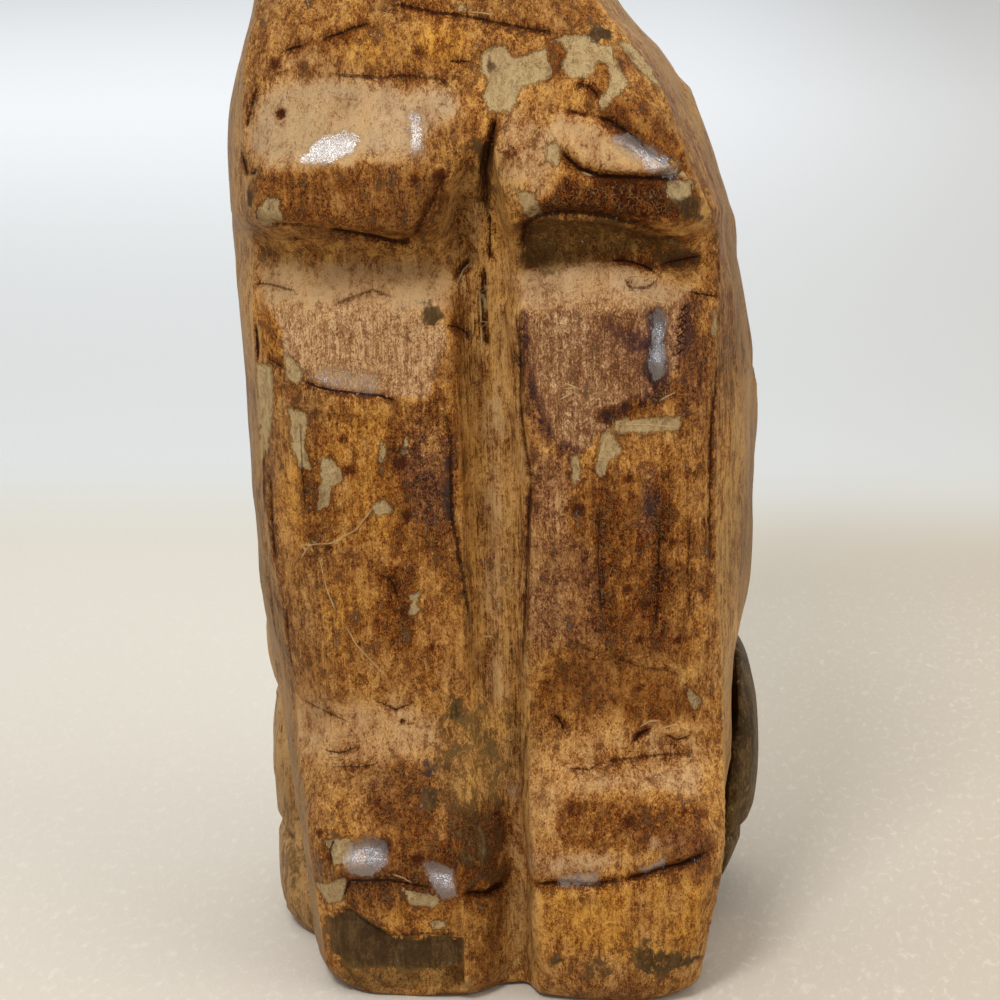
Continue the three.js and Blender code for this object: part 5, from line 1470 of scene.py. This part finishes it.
class FIGURINE_OT_stage(bpy.types.Operator):
    """Lay the floor, hang the lights and place the camera"""

    bl_idname = "figurine.stage"
    bl_label = "Stage"

    def execute(self, context):
        self.floor(context)
        self.lights(context)
        self.camera(context)
        return {"FINISHED"}

    def floor(self, context):
        """A pale card with painted light and shade: greyer close by on the right, and whiter far behind."""
        work = bmesh.new()
        bmesh.ops.create_grid(work, x_segments=2, y_segments=2, size=FLOOR_HALF)
        bmesh.ops.translate(work, verts=work.verts, vec=(0, FLOOR_SHIFT, 0))
        edges = [edge for edge in work.edges if edge.is_boundary]
        rim = bmesh.ops.extrude_edge_only(work, edges=edges)["geom"]
        corners = [item for item in rim if isinstance(item, bmesh.types.BMVert)]
        bmesh.ops.translate(work, verts=corners, vec=(0, 0, -FLOOR_THICKNESS))
        mesh = bpy.data.meshes.new("floor")
        work.to_mesh(mesh)
        work.free()
        floor = bpy.data.objects.new("floor", mesh)
        context.collection.objects.link(floor)
        paint = Paint("pale_card")
        weave = paint.noise((0.7, 0.35, 0.7), 5, 0.65, 0.5, 12)
        across = paint.node("ShaderNodeSeparateXYZ", {}, [paint.place], 0)
        behind = paint.node("ShaderNodeSeparateXYZ", {}, [paint.place], 1)
        distant = behind.step(200, 330)
        threads = (weave - 0.5).step(0.0, 0.25) * (1 - behind.step(150, 260))
        colour = paint.blend(srgb(194, 182, 167), srgb(204, 198, 184), behind.step(-150, 180))
        # Painted shade: greyer close by on the right.
        colour = paint.blend(colour, srgb(184, 169, 148), across.step(-60, 150) * 0.8 * (1 - distant))
        colour = paint.blend(colour, srgb(207, 208, 206), behind.step(225, 338))
        colour = paint.blend(colour, srgb(247, 250, 252), behind.step(330, 1300))
        # Painted shade: greyer far behind on the right.
        colour = paint.blend(colour, srgb(188, 181, 168), across.step(-50, 260) * distant * 0.5)
        colour = paint.blend(colour, srgb(214, 205, 190), threads * 0.6)
        mesh.materials.append(paint.finish(colour, 0.85, weave, 0.25, 0.5, {}))

    def lights(self, context):
        """A soft sky, a window high on the left, and three wide lamps."""
        world = bpy.data.worlds.new("studio")
        world.use_nodes = True
        sky = world.node_tree.nodes["Background"].inputs
        sky["Color"].default_value = SKY_COLOUR
        sky["Strength"].default_value = SKY_STRENGTH
        context.scene.world = world
        for name, place, aim, size, power, colour in LAMPS:
            light = bpy.data.lights.new(name, "AREA")
            light.shape = "SQUARE"
            light.size = size
            light.energy = power
            light.color = colour
            lamp = bpy.data.objects.new(name, light)
            lamp.location = place
            lamp.rotation_euler = (Vector(aim) - Vector(place)).to_track_quat("-Z", "Y").to_euler()
            context.collection.objects.link(lamp)

    def camera(self, context):
        """A long lens that looks down a little on the chest."""
        settings = context.scene.figurine
        pitch, yaw, roll = (math.radians(angle) for angle in CAMERA_ANGLES)
        target = Vector((CAMERA_TARGET - ORIGIN) * MM)
        back = Vector((math.sin(yaw) * math.cos(pitch), -math.cos(yaw) * math.cos(pitch), math.sin(pitch)))
        right = Vector((math.cos(yaw), math.sin(yaw), 0))
        up = back.cross(right)
        lens = bpy.data.cameras.new("camera")
        lens.lens = settings.camera_lens
        lens.sensor_width = 36
        lens.clip_start = 0.01
        eye = bpy.data.objects.new("camera", lens)
        turn = Matrix((right, up, back)).transposed().to_4x4() @ Matrix.Rotation(-roll, 4, "Z")
        eye.matrix_world = Matrix.Translation(target + back * settings.camera_distance) @ turn
        context.collection.objects.link(eye)
        context.scene.camera = eye


class FIGURINE_PT_panel(bpy.types.Panel):
    """Buttons that make the figurine"""

    bl_idname = "FIGURINE_PT_panel"
    bl_label = "Carved Cat Figurine"
    bl_space_type = "VIEW_3D"
    bl_region_type = "UI"
    bl_category = "Figurine"

    def draw(self, context):
        for operator in OPERATORS:
            self.layout.operator(operator.bl_idname)


OPERATORS = (
    FIGURINE_OT_body,
    FIGURINE_OT_haunches,
    FIGURINE_OT_tail,
    FIGURINE_OT_head,
    FIGURINE_OT_eyes,
    FIGURINE_OT_dowels,
    FIGURINE_OT_stage,
)
CLASSES = (FigurineSettings, *OPERATORS, FIGURINE_PT_panel)


def register():
    for cls in CLASSES:
        bpy.utils.register_class(cls)
    bpy.types.Scene.figurine = PointerProperty(type=FigurineSettings)


def unregister():
    del bpy.types.Scene.figurine
    for cls in reversed(CLASSES):
        bpy.utils.unregister_class(cls)


def main():
    """Make the whole scene."""
    register()
    bpy.context.scene.view_settings.view_transform = "Standard"
    bpy.ops.figurine.stage()
    bpy.ops.figurine.body()
    bpy.ops.figurine.haunches()
    bpy.ops.figurine.tail()
    bpy.ops.figurine.head()
    bpy.ops.figurine.eyes()
    bpy.ops.figurine.dowels()


if __name__ == "__main__":
    main()
